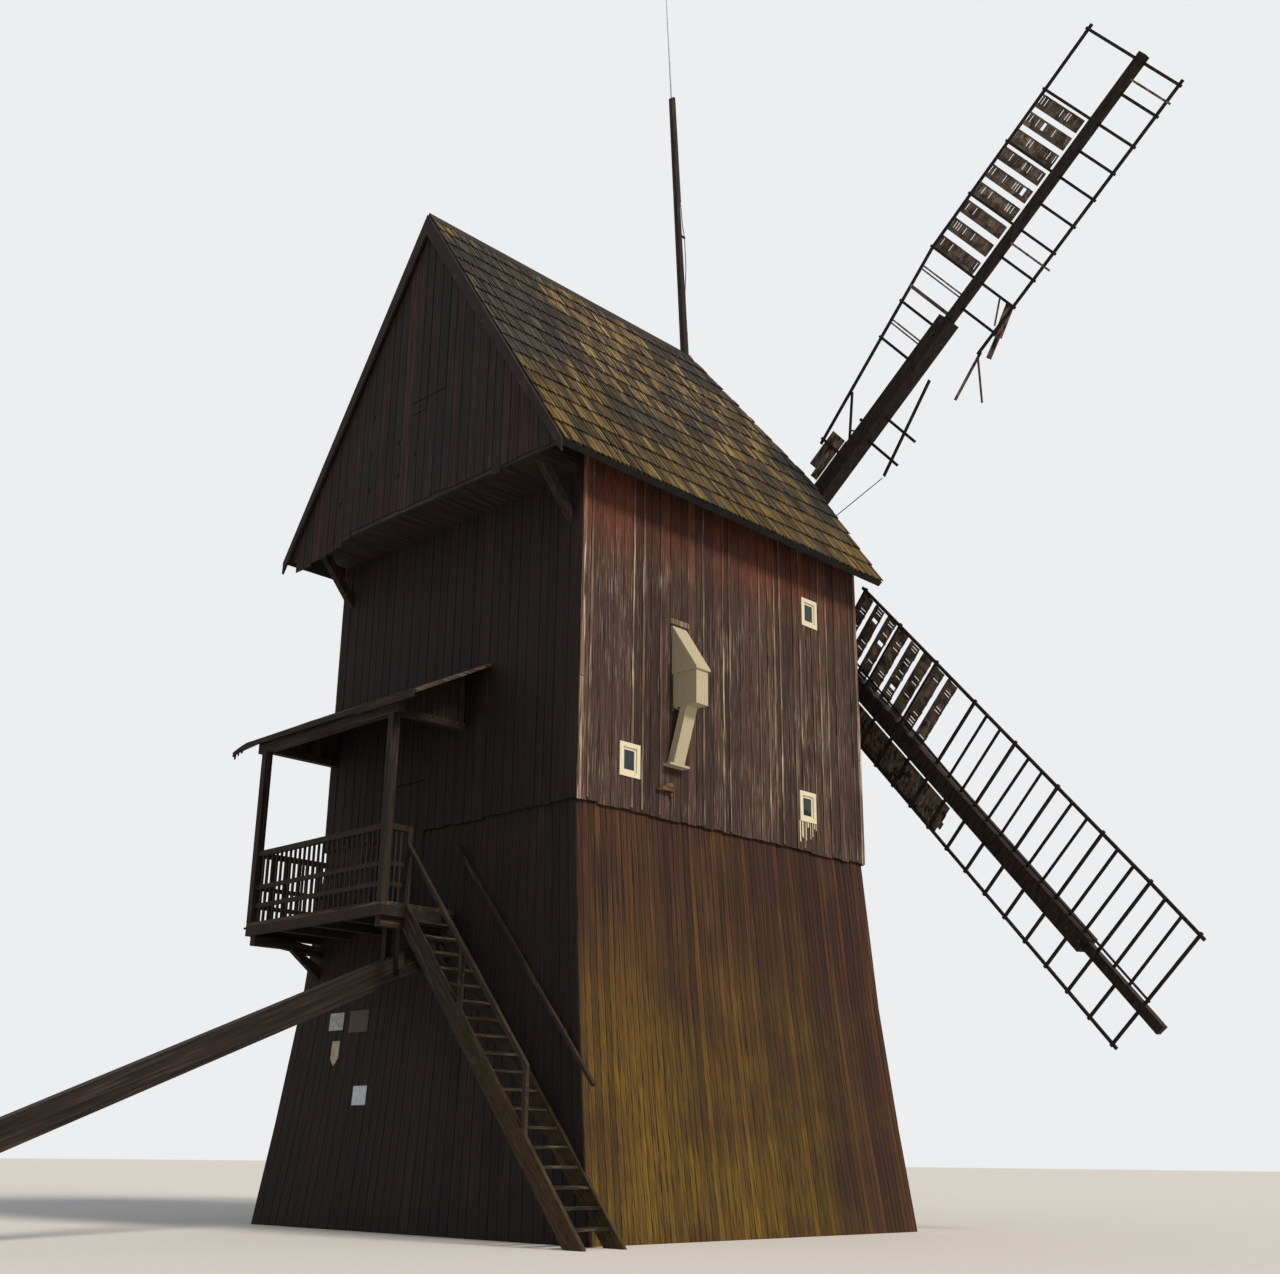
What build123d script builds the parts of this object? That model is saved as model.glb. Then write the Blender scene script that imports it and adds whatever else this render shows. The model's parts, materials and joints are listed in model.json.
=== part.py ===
"""A timber post mill with a flared board skirt, a balcony with an outside stair,
a tail pole and four lattice sails. Millimetres, +Z up, ground at z = 0.
The origin is on the ground under the middle of the mill body. The sails face +Y,
the balcony and the stair are on the rear wall, which faces -Y."""

import os
from math import atan2, cos, radians, sin, tan

from build123d import *

os.makedirs("parts", exist_ok=True)

# Mill body
body_length = 6000.0
body_width = 5360.0
wall_thickness = 60.0
skirt_top = 5140.0
skirt_setback = 40.0
side_flare = 700.0
rear_flare = 310.0
front_flare = 20.0
flare_power = 1.35
skirt_levels = [0.0, 1300.0, 3000.0, skirt_top]
eaves_height = 9600.0
post_size = 220.0

# Floors
lower_floor_top = 3950.0
upper_floor_top = 7300.0
floor_thickness = 60.0
floor_beam_height = 200.0
sill_height = 220.0

# Roof
roof_eave_lift = 6.0
roof_rise_height = 4837.0
roof_eave_reach = 487.0
roof_thickness = 90.0
rear_verge_reach = 830.0
ridge_setback = 930.0
hip_foot_rise = 2294.0
hip_foot_reach = 300.0
front_eave_reach = 120.0
gable_board = 40.0
gable_setback = 50.0
bargeboard_width = 190.0
bargeboard_thickness = 35.0
mitre_gap = 3.0
ridge_board_width = 170.0
ridge_board_thickness = 28.0
plate_seat = 80.0
plate_height = 300.0
jetty_strut_size = 110.0
jetty_strut_drop = 720.0
jetty_strut_foot = 176.0
jetty_strut_reach = 615.0
jetty_strut_head = 165.0

# Windows
window_width = 376.0
window_height = 450.0
window_casing = 62.0
window_casing_depth = 30.0
window_hole_margin = 20.0
lower_sill = 5559.0
upper_sill = 8610.0
rear_window_inset = 741.0
front_window_inset = 1541.0
upper_window_inset = 1388.0
glass_thickness = 6.0
glass_clearance = 1.0

# Balcony door
door_start = -1250.0
door_width = 900.0
door_height = 1900.0
door_thickness = 40.0
door_frame_width = 60.0
door_frame_depth = 80.0
door_stop = 30.0
door_clearance = 3.0
door_bottom_gap = 6.0

# Balcony
balcony_left = -2650.0
balcony_right = 470.0
balcony_reach = 1220.0
balcony_board = 50.0
balcony_joist = 130.0
balcony_joist_width = 110.0
balcony_joist_count = 5
fascia_thickness = 50.0
balcony_post = 110.0
handrail_height = 1000.0
rail_width = 60.0
rail_height = 75.0
middle_rail_height = 520.0
bottom_rail_height = 260.0
baluster_size = 28.0
baluster_pitch = 112.0
balcony_post_height = 2450.0
canopy_beam_size = 100.0
canopy_beam_overrun = 110.0
newel_size = 76.0
canopy_left = -3310.0
canopy_right = 1000.0
canopy_wall_height = 7220.0
canopy_eave_height = 6540.0
canopy_eave_reach = 80.0
canopy_board = 50.0
canopy_cheek = 30.0
outrigger_width = 120.0
outrigger_height = 130.0
outrigger_inset = 60.0
outrigger_seat = 500.0
outrigger_drop = 75.0
outrigger_brace_drop = 420.0
outrigger_brace_reach = 560.0
outrigger_brace_inset = 15.0

# Stair
stair_outer_reach = 800.0
stair_inner_reach = 250.0
stringer_thickness = 50.0
stringer_depth = 240.0
stair_foot = 3870.0
riser_count = 19
tread_thickness = 32.0
tread_depth = 190.0
tread_setback = 15.0
stair_rail_height = 760.0
stair_rail_size = 55.0
stair_post_size = 60.0
outer_rail_middle_post = 1600.0
outer_rail_end = 2890.0
wall_rail_size = 45.0
wall_rail_gap = 40.0
wall_rail_foot_setback = 560.0
wall_rail_foot_height = 1040.0
wall_rail_head_overrun = 40.0
wall_rail_head_height = 843.0
wall_rail_brackets = [0.2, 0.52, 0.84]

# Tail pole
tail_slope = 23.6
tail_wall_height = 3627.0
tail_pole_width = 200.0
tail_pole_depth = 310.0
tail_pole_reach = 7250.0
hanger_reach = 600.0
hanger_size = 90.0
hanger_share = 0.6

# Mast on the ridge
mast_setback = 145.0
mast_foot_diameter = 150.0
mast_top_diameter = 100.0
mast_height = 5300.0
mast_lean = 4.0
mast_seat = 110.0
rod_length = 2600.0
rod_diameter = 30.0
rod_tip_diameter = 12.0
mast_sides = 8
rod_sides = 6

# Feed chute on the side wall
chute_inset = 1755.0
chute_width = 235.0
chute_reach = 440.0
chute_bottom = 6660.0
chute_box_height = 480.0
hood_height = 730.0
hood_overhang = 25.0
duct_width = 210.0
duct_depth = 120.0
duct_setback = 170.0
duct_shift = 140.0
duct_side_shift = 110.0
duct_foot = 5860.0
cap_board_height = 60.0
foot_board_thickness = 30.0
foot_board_reach = 150.0
foot_board_width = 380.0

# Bare plates on the rear wall, each by its start, bottom, width and height
plate_thickness = 20.0
plate_places = [
    (-2140.0, 2500.0, 390.0, 270.0),
    (-1690.0, 2450.0, 510.0, 330.0),
    (-1400.0, 1540.0, 330.0, 250.0),
]
plaque_place = (-2010.0, 2050.0, 230.0, 340.0)
plaque_shoulder_share = 0.7

# Rotor
hub_reach = 1037.0
hub_above_eaves = 1102.0
shaft_tilt = 4.08
sail_turn = 37.9
weather_angle = 13.8
neck_radius = 280.0
tail_radius = 200.0
neck_end = 1750.0
shaft_length = 3500.0
poll_size = 640.0
poll_depth = 700.0
stock_width = 260.0
stock_depth = 300.0
stock_offset = 155.0
whip_width = 150.0
whip_depth = 130.0
whip_housing = 400.0
journal_clearance = 0.5
shaft_clearance = 60.0
bearing_half_width = 450.0
bearing_depth = 260.0
neck_bearing_setback = 400.0
tail_bearing_setback = 2200.0
beam_height = 350.0
bar_width = 45.0
bar_thickness = 38.0
lath_width = 50.0
lath_thickness = 28.0
lath_overrun = 90.0
narrow_side = 780.0
shutters_per_bay = 3
shutter_thickness = 12.0
shutter_height = 230.0
shutter_gap = 20.0

# Damage of the upper right sail, as distances from the hub and across the sail
broken_sail = "upper_right"
lost_narrow_bars = [(0.0, 3000.0), (4000.0, 5600.0)]
lost_wide_bars = [(3600.0, 3700.0)]
narrow_lath_break = 5400.0
loose_lath = [(2880.0, -740.0), (4600.0, -360.0)]
loose_strut = [(2870.0, 110.0), (3635.0, 690.0)]

# Sizes of the two stocks and their sails, with the distances of the cross bars from the hub
stock_one_sizes = {
    "offset": stock_offset,
    "stock_reach": 5550.0,
    "reach": 10460.0,
    "bars": [2680.0, 3660.0, 4650.0, 5330.0, 6330.0, 7350.0, 8330.0, 9280.0, 10350.0],
    "wide_root": 600.0,
    "wide": 1050.0,
    "full_width_from": 6330.0,
    "shutters_from": 6330.0,
    "shutters_to": 9280.0,
}
stock_two_sizes = {
    "offset": -stock_offset,
    "stock_reach": 8700.0,
    "reach": 10260.0,
    "bars": [2010.0, 2990.0, 3970.0, 4950.0, 5930.0, 6910.0, 7890.0, 8870.0, 9850.0],
    "wide_root": 1360.0,
    "wide": 1480.0,
    "full_width_from": 8870.0,
    "shutters_from": 2010.0,
    "shutters_to": 3970.0,
}

# Worked out from the sizes above
half_length = body_length / 2
half_width = body_width / 2
inner_x = half_width - wall_thickness
inner_y = half_length - wall_thickness
frame_x = inner_x - skirt_setback
frame_y = inner_y - skirt_setback
ridge_front = half_length - ridge_setback
mast_foot_front = ridge_front - mast_setback
rear_window_start = -half_length + rear_window_inset
front_window_start = half_length - front_window_inset
upper_window_start = half_length - upper_window_inset
chute_start = -half_length + chute_inset
balcony_front = -half_length - balcony_reach
stair_outer = -half_length - stair_outer_reach
stair_inner = -half_length - stair_inner_reach
hanger_front = -half_length - hanger_reach
hub_front = half_length + hub_reach
neck_bearing_front = half_length - neck_bearing_setback
tail_bearing_front = half_length - tail_bearing_setback
eave_x = half_width + roof_eave_reach
roof_eave_height = eaves_height + roof_eave_lift
ridge_height = roof_eave_height + roof_rise_height
hip_foot_height = roof_eave_height + hip_foot_rise
hub_height = eaves_height + hub_above_eaves
roof_angle = atan2(ridge_height - roof_eave_height, eave_x)
roof_rise = tan(roof_angle)
inner_ridge = ridge_height - roof_thickness / cos(roof_angle)
hip_foot_y = half_length + hip_foot_reach
hip_rise = (ridge_height - hip_foot_height) / (hip_foot_y - ridge_front)
hip_angle = atan2(ridge_height - hip_foot_height, hip_foot_y - ridge_front)
rear_verge = -half_length - rear_verge_reach
span = 2 * body_length


def roof_inside(x):
    """Height of the roof's inner face at a distance x from the ridge plane."""
    return inner_ridge - roof_rise * abs(x)


def flare(total, z):
    """How far the skirt stands out at height z, from its full spread at the ground."""
    return total * (max(skirt_top - z, 0.0) / skirt_top) ** flare_power


def skirt_x(z):
    return half_width - skirt_setback + flare(side_flare, z)


def skirt_rear(z):
    return half_length - skirt_setback + flare(rear_flare, z)


def skirt_front(z):
    return half_length - skirt_setback + flare(front_flare, z)


def block(x, y, z, mode=Mode.ADD):
    """A box between pairs of x, y and z limits, added to the part being made."""
    with Locations(((x[0] + x[1]) / 2, (y[0] + y[1]) / 2, (z[0] + z[1]) / 2)):
        Box(abs(x[1] - x[0]), abs(y[1] - y[0]), abs(z[1] - z[0]), mode=mode)


def prism(plane, points, amount, both=False, mode=Mode.ADD):
    """A straight prism over an outline on a plane, added to the part being made."""
    with BuildSketch(plane) as outline:
        with BuildLine():
            Polyline(*points, close=True)
        make_face()
    extrude(outline.sketch, amount=amount, both=both, mode=mode)


def cut_at_rear_wall():
    """Take away whatever reaches past the outer face of the rear skirt."""
    inside = [(-skirt_rear(z), z) for z in skirt_levels] + [(0, skirt_top), (0, 0)]
    prism(Plane.YZ, inside, span, both=True, mode=Mode.SUBTRACT)


def turned(plane, about_normal, about_x=0):
    """The plane turned about its own normal, then about its new x direction."""
    return Plane(plane.location * Rotation(0, 0, about_normal) * Rotation(about_x, 0, 0))


# Skirt walls
def skirt_outline(reach):
    outer = [(reach(z), z) for z in skirt_levels]
    inner = [(reach(z) - wall_thickness, z) for z in reversed(skirt_levels)]
    return outer + inner


def skirt_length_outline():
    rear = [(-skirt_rear(z), z) for z in skirt_levels]
    front = [(skirt_front(z), z) for z in reversed(skirt_levels)]
    return rear + front


def skirt_inside_outline():
    right = [(skirt_x(z) - wall_thickness, z) for z in skirt_levels]
    left = [(-x, z) for x, z in reversed(right)]
    return right + left


with BuildPart() as skirt_sides:
    prism(Plane.XZ, skirt_outline(skirt_x), span, both=True)
    prism(Plane.YZ, skirt_length_outline(), span, both=True, mode=Mode.INTERSECT)
    mirror(about=Plane.YZ)
skirt_sides.part.label = "skirt_sides"
export_step(skirt_sides.part, "parts/skirt_sides.step")

with BuildPart() as skirt_front_wall:
    prism(Plane.YZ, skirt_outline(skirt_front), span, both=True)
    prism(Plane.XZ, skirt_inside_outline(), span, both=True, mode=Mode.INTERSECT)
skirt_front_wall.part.label = "skirt_front"
export_step(skirt_front_wall.part, "parts/skirt_front.step")

# Tail pole, which passes through the rear skirt
tail_slope_rise = tan(radians(tail_slope))
tail_drop = tail_pole_depth / cos(radians(tail_slope))
tail_root = -frame_y + post_size
tail_tip = -half_length - tail_pole_reach
tail_under_tip = tail_tip - tail_drop * tail_slope_rise


def tail_top(y):
    return tail_wall_height + (y + half_length) * tail_slope_rise


with BuildPart() as tail_pole:
    pole_outline = [
        (tail_root, tail_top(tail_root)),
        (tail_root, tail_top(tail_root) - tail_drop),
        (tail_under_tip, tail_top(tail_under_tip) - tail_drop),
        (tail_tip, tail_top(tail_tip)),
    ]
    prism(Plane.YZ, pole_outline, tail_pole_width / 2, both=True)
tail_pole.part.label = "tail_pole"
export_step(tail_pole.part, "parts/tail_pole.step")

door_x = (door_start, door_start + door_width)
door_z = (lower_floor_top, lower_floor_top + door_height)
frame_edges = (door_x[0] - door_frame_width, door_x[1] + door_frame_width)

with BuildPart() as skirt_rear_wall:
    prism(Plane.YZ, [(-y, z) for y, z in skirt_outline(skirt_rear)], span, both=True)
    prism(Plane.XZ, skirt_inside_outline(), span, both=True, mode=Mode.INTERSECT)
    block(frame_edges, (-span, 0), (lower_floor_top, skirt_top), mode=Mode.SUBTRACT)
    add(tail_pole.part, mode=Mode.SUBTRACT)
skirt_rear_wall.part.label = "skirt_rear"
export_step(skirt_rear_wall.part, "parts/skirt_rear.step")

# Upper walls
window_starts = [
    (rear_window_start, lower_sill),
    (front_window_start, lower_sill),
    (upper_window_start, upper_sill),
]
hole_inset = window_casing - window_hole_margin

with BuildPart() as wall_sides:
    side_outline = [
        (inner_x, skirt_top),
        (half_width, skirt_top),
        (half_width, roof_inside(half_width)),
        (inner_x, roof_inside(inner_x)),
    ]
    prism(Plane.XZ, side_outline, half_length, both=True)
    for start, sill in window_starts:
        hole_y = (start + hole_inset, start + window_width - hole_inset)
        hole_z = (sill + hole_inset, sill + window_height - hole_inset)
        block((0, span), hole_y, hole_z, mode=Mode.SUBTRACT)
    mirror(about=Plane.YZ)
wall_sides.part.label = "wall_sides"
export_step(wall_sides.part, "parts/wall_sides.step")

with BuildPart() as wall_front:
    block((-inner_x, inner_x), (inner_y, half_length), (skirt_top, eaves_height))
wall_front.part.label = "wall_front"
export_step(wall_front.part, "parts/wall_front.step")

with BuildPart() as wall_rear:
    block((-inner_x, inner_x), (-half_length, -inner_y), (skirt_top, eaves_height))
    block(door_x, (-span, 0), door_z, mode=Mode.SUBTRACT)
wall_rear.part.label = "wall_rear"
export_step(wall_rear.part, "parts/wall_rear.step")

# Timber frame inside the walls
post_x = (frame_x - post_size, frame_x)
post_y = (frame_y - post_size, frame_y)


def corner_blocks(z, mode=Mode.ADD):
    """Four blocks in the corners of the frame, as wide as its posts."""
    for side in (-1, 1):
        for end in (-1, 1):
            x = (side * post_x[0], side * post_x[1])
            y = (end * post_y[0], end * post_y[1])
            block(x, y, z, mode=mode)


def beam_ring(z):
    """Four beams between the corner posts."""
    for side in (-1, 1):
        block((side * post_x[0], side * post_x[1]), (-post_y[0], post_y[0]), z)
        block((-post_x[0], post_x[0]), (side * post_y[0], side * post_y[1]), z)


with BuildPart() as sill_beams:
    beam_ring((0, sill_height))
sill_beams.part.label = "sill_beams"
export_step(sill_beams.part, "parts/sill_beams.step")

with BuildPart() as cross_sill:
    block((-post_x[0], post_x[0]), (-post_size / 2, post_size / 2), (0, sill_height))
cross_sill.part.label = "cross_sill"
export_step(cross_sill.part, "parts/cross_sill.step")

with BuildPart() as corner_posts:
    corner_blocks((0, eaves_height))
corner_posts.part.label = "corner_posts"
export_step(corner_posts.part, "parts/corner_posts.step")

with BuildPart() as floor_beams:
    for top in (lower_floor_top, upper_floor_top):
        beam_ring((top - floor_thickness - floor_beam_height, top - floor_thickness))
    add(tail_pole.part, mode=Mode.SUBTRACT)
floor_beams.part.label = "floor_beams"
export_step(floor_beams.part, "parts/floor_beams.step")

with BuildPart() as floors:
    for top in (lower_floor_top, upper_floor_top):
        z = (top - floor_thickness, top)
        block((-frame_x, frame_x), (-frame_y, frame_y), z)
        corner_blocks(z, mode=Mode.SUBTRACT)
floors.part.label = "floors"
export_step(floors.part, "parts/floors.step")

# Eaves plates, which run out to carry the rear gable
gable_face = rear_verge + gable_setback
gable_back = gable_face + gable_board
ledge_x = inner_x - plate_seat
plate_top = eaves_height + plate_height
plate_outline = [
    (post_x[0], eaves_height),
    (inner_x, eaves_height),
    (inner_x, roof_inside(inner_x)),
    (ledge_x, roof_inside(ledge_x)),
    (ledge_x, plate_top),
    (post_x[0], plate_top),
]

with BuildPart() as eaves_plates:
    prism(Plane.XZ.offset(-inner_y), plate_outline, inner_y - gable_back)
    mirror(about=Plane.YZ)
eaves_plates.part.label = "eaves_plates"
export_step(eaves_plates.part, "parts/eaves_plates.step")

with BuildPart() as jetty_floor:
    block((-post_x[0], post_x[0]), (gable_back, -inner_y), (eaves_height, eaves_height + floor_thickness))
jetty_floor.part.label = "jetty_floor"
export_step(jetty_floor.part, "parts/jetty_floor.step")

with BuildPart() as jetty_struts:
    strut_outline = [
        (-half_length, eaves_height - jetty_strut_drop),
        (-half_length, eaves_height - jetty_strut_drop + jetty_strut_foot),
        (-half_length - jetty_strut_reach + jetty_strut_head, eaves_height),
        (-half_length - jetty_strut_reach, eaves_height),
    ]
    prism(Plane.YZ.offset(post_x[0] + jetty_strut_size / 2), strut_outline, jetty_strut_size)
    mirror(about=Plane.YZ)
jetty_struts.part.label = "jetty_struts"
export_step(jetty_struts.part, "parts/jetty_struts.step")

# Roof
hip_plane = Plane(origin=(0, ridge_front, ridge_height), x_dir=(1, 0, 0),
                  z_dir=(0, sin(hip_angle), cos(hip_angle)))
hip_foot_x = (ridge_height - hip_foot_height) / roof_rise
verge_plane = Plane(
    origin=(hip_foot_x, hip_foot_y, 0),
    x_dir=(0, 0, 1),
    z_dir=(hip_foot_reach - front_eave_reach, eave_x - hip_foot_x, 0),
)
eave_in = (eave_x - roof_thickness * sin(roof_angle), roof_eave_height - roof_thickness * cos(roof_angle))

with BuildPart() as roof_right:
    slope_outline = [(0, ridge_height), (eave_x, roof_eave_height), eave_in, (0, inner_ridge)]
    prism(Plane.XZ.offset(-hip_foot_y), slope_outline, hip_foot_y - rear_verge)
    split(bisect_by=verge_plane, keep=Keep.BOTTOM)
    split(bisect_by=hip_plane, keep=Keep.BOTTOM)
roof_right.part.label = "roof_right"
export_step(roof_right.part, "parts/roof_right.step")

with BuildPart() as roof_left:
    mirror(roof_right.part, about=Plane.YZ)
roof_left.part.label = "roof_left"
export_step(roof_left.part, "parts/roof_left.step")

with BuildPart() as roof_hip:
    hip_length = (ridge_height - hip_foot_height) / sin(hip_angle)
    with BuildSketch(hip_plane):
        with Locations((0, hip_length / 2)):
            Rectangle(2 * hip_foot_x, hip_length)
    extrude(amount=-roof_thickness)
    for side in (-1, 1):
        inner_slope = Plane(origin=(0, 0, inner_ridge), x_dir=(0, 1, 0),
                            z_dir=(side * sin(roof_angle), 0, cos(roof_angle)))
        split(bisect_by=inner_slope, keep=Keep.BOTTOM)
roof_hip.part.label = "roof_hip"
export_step(roof_hip.part, "parts/roof_hip.step")

with BuildPart() as gable_rear:
    gable_foot = (inner_ridge - eaves_height) / roof_rise
    gable_outline = [(-gable_foot, eaves_height), (gable_foot, eaves_height), (0, inner_ridge)]
    prism(Plane.XZ.offset(-gable_back), gable_outline, gable_board)
gable_rear.part.label = "gable_rear"
export_step(gable_rear.part, "parts/gable_rear.step")

shaft_axis = Plane(
    origin=(0, hub_front, hub_height),
    x_dir=(1, 0, 0),
    z_dir=(0, -cos(radians(shaft_tilt)), -sin(radians(shaft_tilt))),
)


def shaft_height(y):
    return hub_height - (hub_front - y) * tan(radians(shaft_tilt))


with BuildPart() as gable_front:
    hip_inside = ridge_height - (half_length - ridge_front) * hip_rise - roof_thickness / cos(hip_angle)
    head_x = (inner_ridge - hip_inside) / roof_rise
    front_outline = [
        (-inner_x, eaves_height),
        (inner_x, eaves_height),
        (inner_x, roof_inside(inner_x)),
        (head_x, hip_inside),
        (-head_x, hip_inside),
        (-inner_x, roof_inside(inner_x)),
    ]
    prism(Plane.XZ.offset(-half_length), front_outline, wall_thickness)
    with BuildSketch(shaft_axis):
        Circle(neck_radius + shaft_clearance)
    extrude(amount=shaft_length, mode=Mode.SUBTRACT)
gable_front.part.label = "gable_front"
export_step(gable_front.part, "parts/gable_front.step")

with BuildPart() as bargeboards:
    drop = bargeboard_width / cos(roof_angle)
    board_outline = [
        (mitre_gap / 2, ridge_height - roof_rise * mitre_gap / 2),
        (eave_x, roof_eave_height),
        (eave_x, roof_eave_height - bargeboard_width),
        (mitre_gap / 2, ridge_height - roof_rise * mitre_gap / 2 - drop),
    ]
    prism(Plane.XZ.offset(-rear_verge), board_outline, bargeboard_thickness)
    mirror(about=Plane.YZ)
bargeboards.part.label = "bargeboards"
export_step(bargeboards.part, "parts/bargeboards.step")

with BuildPart() as ridge_boards:
    lift = ridge_board_thickness / cos(roof_angle)
    side_x = ridge_board_width * cos(roof_angle)
    side_z = ridge_board_width * sin(roof_angle)
    lap_x = ridge_board_thickness * sin(roof_angle)
    lap_z = ridge_board_thickness * cos(roof_angle)
    cap_outline = [
        (0, ridge_height),
        (side_x, ridge_height - side_z),
        (side_x + lap_x, ridge_height - side_z + lap_z),
        (0, ridge_height + lift),
        (-side_x - lap_x, ridge_height - side_z + lap_z),
        (-side_x, ridge_height - side_z),
    ]
    prism(Plane.XZ.offset(-ridge_front), cap_outline, ridge_front - rear_verge)
ridge_boards.part.label = "ridge_boards"
export_step(ridge_boards.part, "parts/ridge_boards.step")

# Windows
casing_inner_width = window_width - 2 * window_casing
casing_inner_height = window_height - 2 * window_casing

with BuildPart() as window_frames:
    for start, sill in window_starts:
        y = (start, start + window_width)
        z = (sill, sill + window_height)
        block((half_width, half_width + window_casing_depth), y, z)
        y_in = (start + window_casing, start + window_width - window_casing)
        z_in = (sill + window_casing, sill + window_height - window_casing)
        block((0, span), y_in, z_in, mode=Mode.SUBTRACT)
    mirror(about=Plane.YZ)
window_frames.part.label = "window_frames"
export_step(window_frames.part, "parts/window_frames.step")

with BuildPart() as window_panes:
    pane_inset = hole_inset + glass_clearance
    for start, sill in window_starts:
        y = (start + pane_inset, start + window_width - pane_inset)
        z = (sill + pane_inset, sill + window_height - pane_inset)
        block((half_width - glass_thickness, half_width), y, z)
    mirror(about=Plane.YZ)
window_panes.part.label = "window_panes"
export_step(window_panes.part, "parts/window_panes.step")

# Balcony door
with BuildPart() as door_frame:
    casing_y = (-inner_y, -inner_y + door_frame_depth)
    block(frame_edges, casing_y, (lower_floor_top, door_z[1] + door_frame_width))
    stop_x = (door_x[0] + door_stop, door_x[1] - door_stop)
    block(stop_x, casing_y, (lower_floor_top, door_z[1] - door_stop), mode=Mode.SUBTRACT)
door_frame.part.label = "door_frame"
export_step(door_frame.part, "parts/door_frame.step")

with BuildPart() as door_leaf:
    leaf_x = (door_x[0] + door_clearance, door_x[1] - door_clearance)
    leaf_z = (door_z[0] + door_bottom_gap, door_z[1] - door_clearance)
    block(leaf_x, (-inner_y - door_thickness, -inner_y), leaf_z)
door_leaf.part.label = "door_leaf"
export_step(door_leaf.part, "parts/door_leaf.step")

# Balcony
joist_top = lower_floor_top - balcony_board
joist_bottom = joist_top - balcony_joist
joist_front = balcony_front + fascia_thickness

with BuildPart() as balcony_floor:
    block((balcony_left, balcony_right), (balcony_front, 0), (joist_top, lower_floor_top))
    cut_at_rear_wall()
balcony_floor.part.label = "balcony_floor"
export_step(balcony_floor.part, "parts/balcony_floor.step")

with BuildPart() as balcony_joists:
    joist_spacing = (balcony_right - balcony_left - balcony_joist_width) / (balcony_joist_count - 1)
    for number in range(balcony_joist_count):
        start = balcony_left + number * joist_spacing
        block((start, start + balcony_joist_width), (joist_front, 0), (joist_bottom, joist_top))
    block((balcony_left, balcony_right), (balcony_front, joist_front), (joist_bottom, joist_top))
    cut_at_rear_wall()
balcony_joists.part.label = "balcony_joists"
export_step(balcony_joists.part, "parts/balcony_joists.step")

outrigger_z = (joist_bottom - outrigger_height, joist_bottom)
outrigger_outline = [
    (joist_front, outrigger_z[0]),
    (joist_front, joist_bottom),
    (joist_front + outrigger_seat, joist_bottom),
    (-half_length, joist_bottom - outrigger_drop),
    (-half_length + wall_thickness, joist_bottom - outrigger_drop),
    (-half_length + wall_thickness, outrigger_z[0] - outrigger_drop),
    (-half_length, outrigger_z[0] - outrigger_drop),
    (joist_front + outrigger_seat, outrigger_z[0]),
]
outrigger_starts = (balcony_left + outrigger_inset, balcony_right - outrigger_inset - outrigger_width)

with BuildPart() as outriggers:
    brace_foot = outrigger_z[0] - outrigger_brace_drop
    brace_outline = [
        (0, brace_foot),
        (-half_length, brace_foot),
        (-half_length - outrigger_brace_reach, outrigger_z[0]),
        (-half_length - outrigger_brace_reach + outrigger_height, outrigger_z[0]),
        (-half_length + outrigger_height, brace_foot + outrigger_height),
        (0, brace_foot + outrigger_height),
    ]
    brace_width = outrigger_width - 2 * outrigger_brace_inset
    for start in outrigger_starts:
        prism(Plane.YZ.offset(start), outrigger_outline, outrigger_width)
        prism(Plane.YZ.offset(start + outrigger_brace_inset), brace_outline, brace_width)
    cut_at_rear_wall()
outriggers.part.label = "outriggers"
export_step(outriggers.part, "parts/outriggers.step")

post_line = (balcony_front, balcony_front + balcony_post)
post_lines_x = [
    (balcony_left, balcony_left + balcony_post),
    (balcony_right - balcony_post, balcony_right),
]
canopy_beam_bottom = lower_floor_top + balcony_post_height

with BuildPart() as balcony_posts:
    for x in post_lines_x:
        block(x, post_line, (lower_floor_top, canopy_beam_bottom))
balcony_posts.part.label = "balcony_posts"
export_step(balcony_posts.part, "parts/balcony_posts.step")

rail_top = lower_floor_top + handrail_height
rail_levels = [
    (rail_top - rail_height, rail_top, rail_width),
    (lower_floor_top + middle_rail_height - rail_width, lower_floor_top + middle_rail_height, rail_width / 2),
    (lower_floor_top + bottom_rail_height - rail_width, lower_floor_top + bottom_rail_height, rail_width / 2),
]


def railing(start, end, along_x, middle):
    """Rails and upright sticks between two ends, along x or along y, about a middle line."""
    def bar(along, across, z):
        if along_x:
            block(along, across, z)
        else:
            block(across, along, z)

    for low, high, depth in rail_levels:
        bar((start, end), (middle - depth / 2, middle + depth / 2), (low, high))
    count = int((end - start) / baluster_pitch)
    spacing = (end - start) / (count + 1)
    across = (middle - baluster_size / 2, middle + baluster_size / 2)
    for number in range(1, count + 1):
        centre = start + number * spacing
        along = (centre - baluster_size / 2, centre + baluster_size / 2)
        bar(along, across, (lower_floor_top, rail_top - rail_height))


front_line = balcony_front + balcony_post / 2
left_line = balcony_left + balcony_post / 2
right_line = balcony_right - balcony_post / 2
newel_y = (stair_outer - stringer_thickness, stair_outer - stringer_thickness + newel_size)
newel_x = (right_line - newel_size / 2, right_line + newel_size / 2)
rail_end = -half_length + skirt_setback - baluster_pitch / 2

with BuildPart() as railing_front:
    railing(post_lines_x[0][1], post_lines_x[1][0], True, front_line)
railing_front.part.label = "railing_front"
export_step(railing_front.part, "parts/railing_front.step")

with BuildPart() as railing_left:
    railing(post_line[1], rail_end, False, left_line)
    cut_at_rear_wall()
railing_left.part.label = "railing_left"
export_step(railing_left.part, "parts/railing_left.step")

with BuildPart() as railing_right:
    railing(post_line[1], newel_y[0], False, right_line)
    block(newel_x, newel_y, (lower_floor_top, rail_top))
railing_right.part.label = "railing_right"
export_step(railing_right.part, "parts/railing_right.step")

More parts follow.
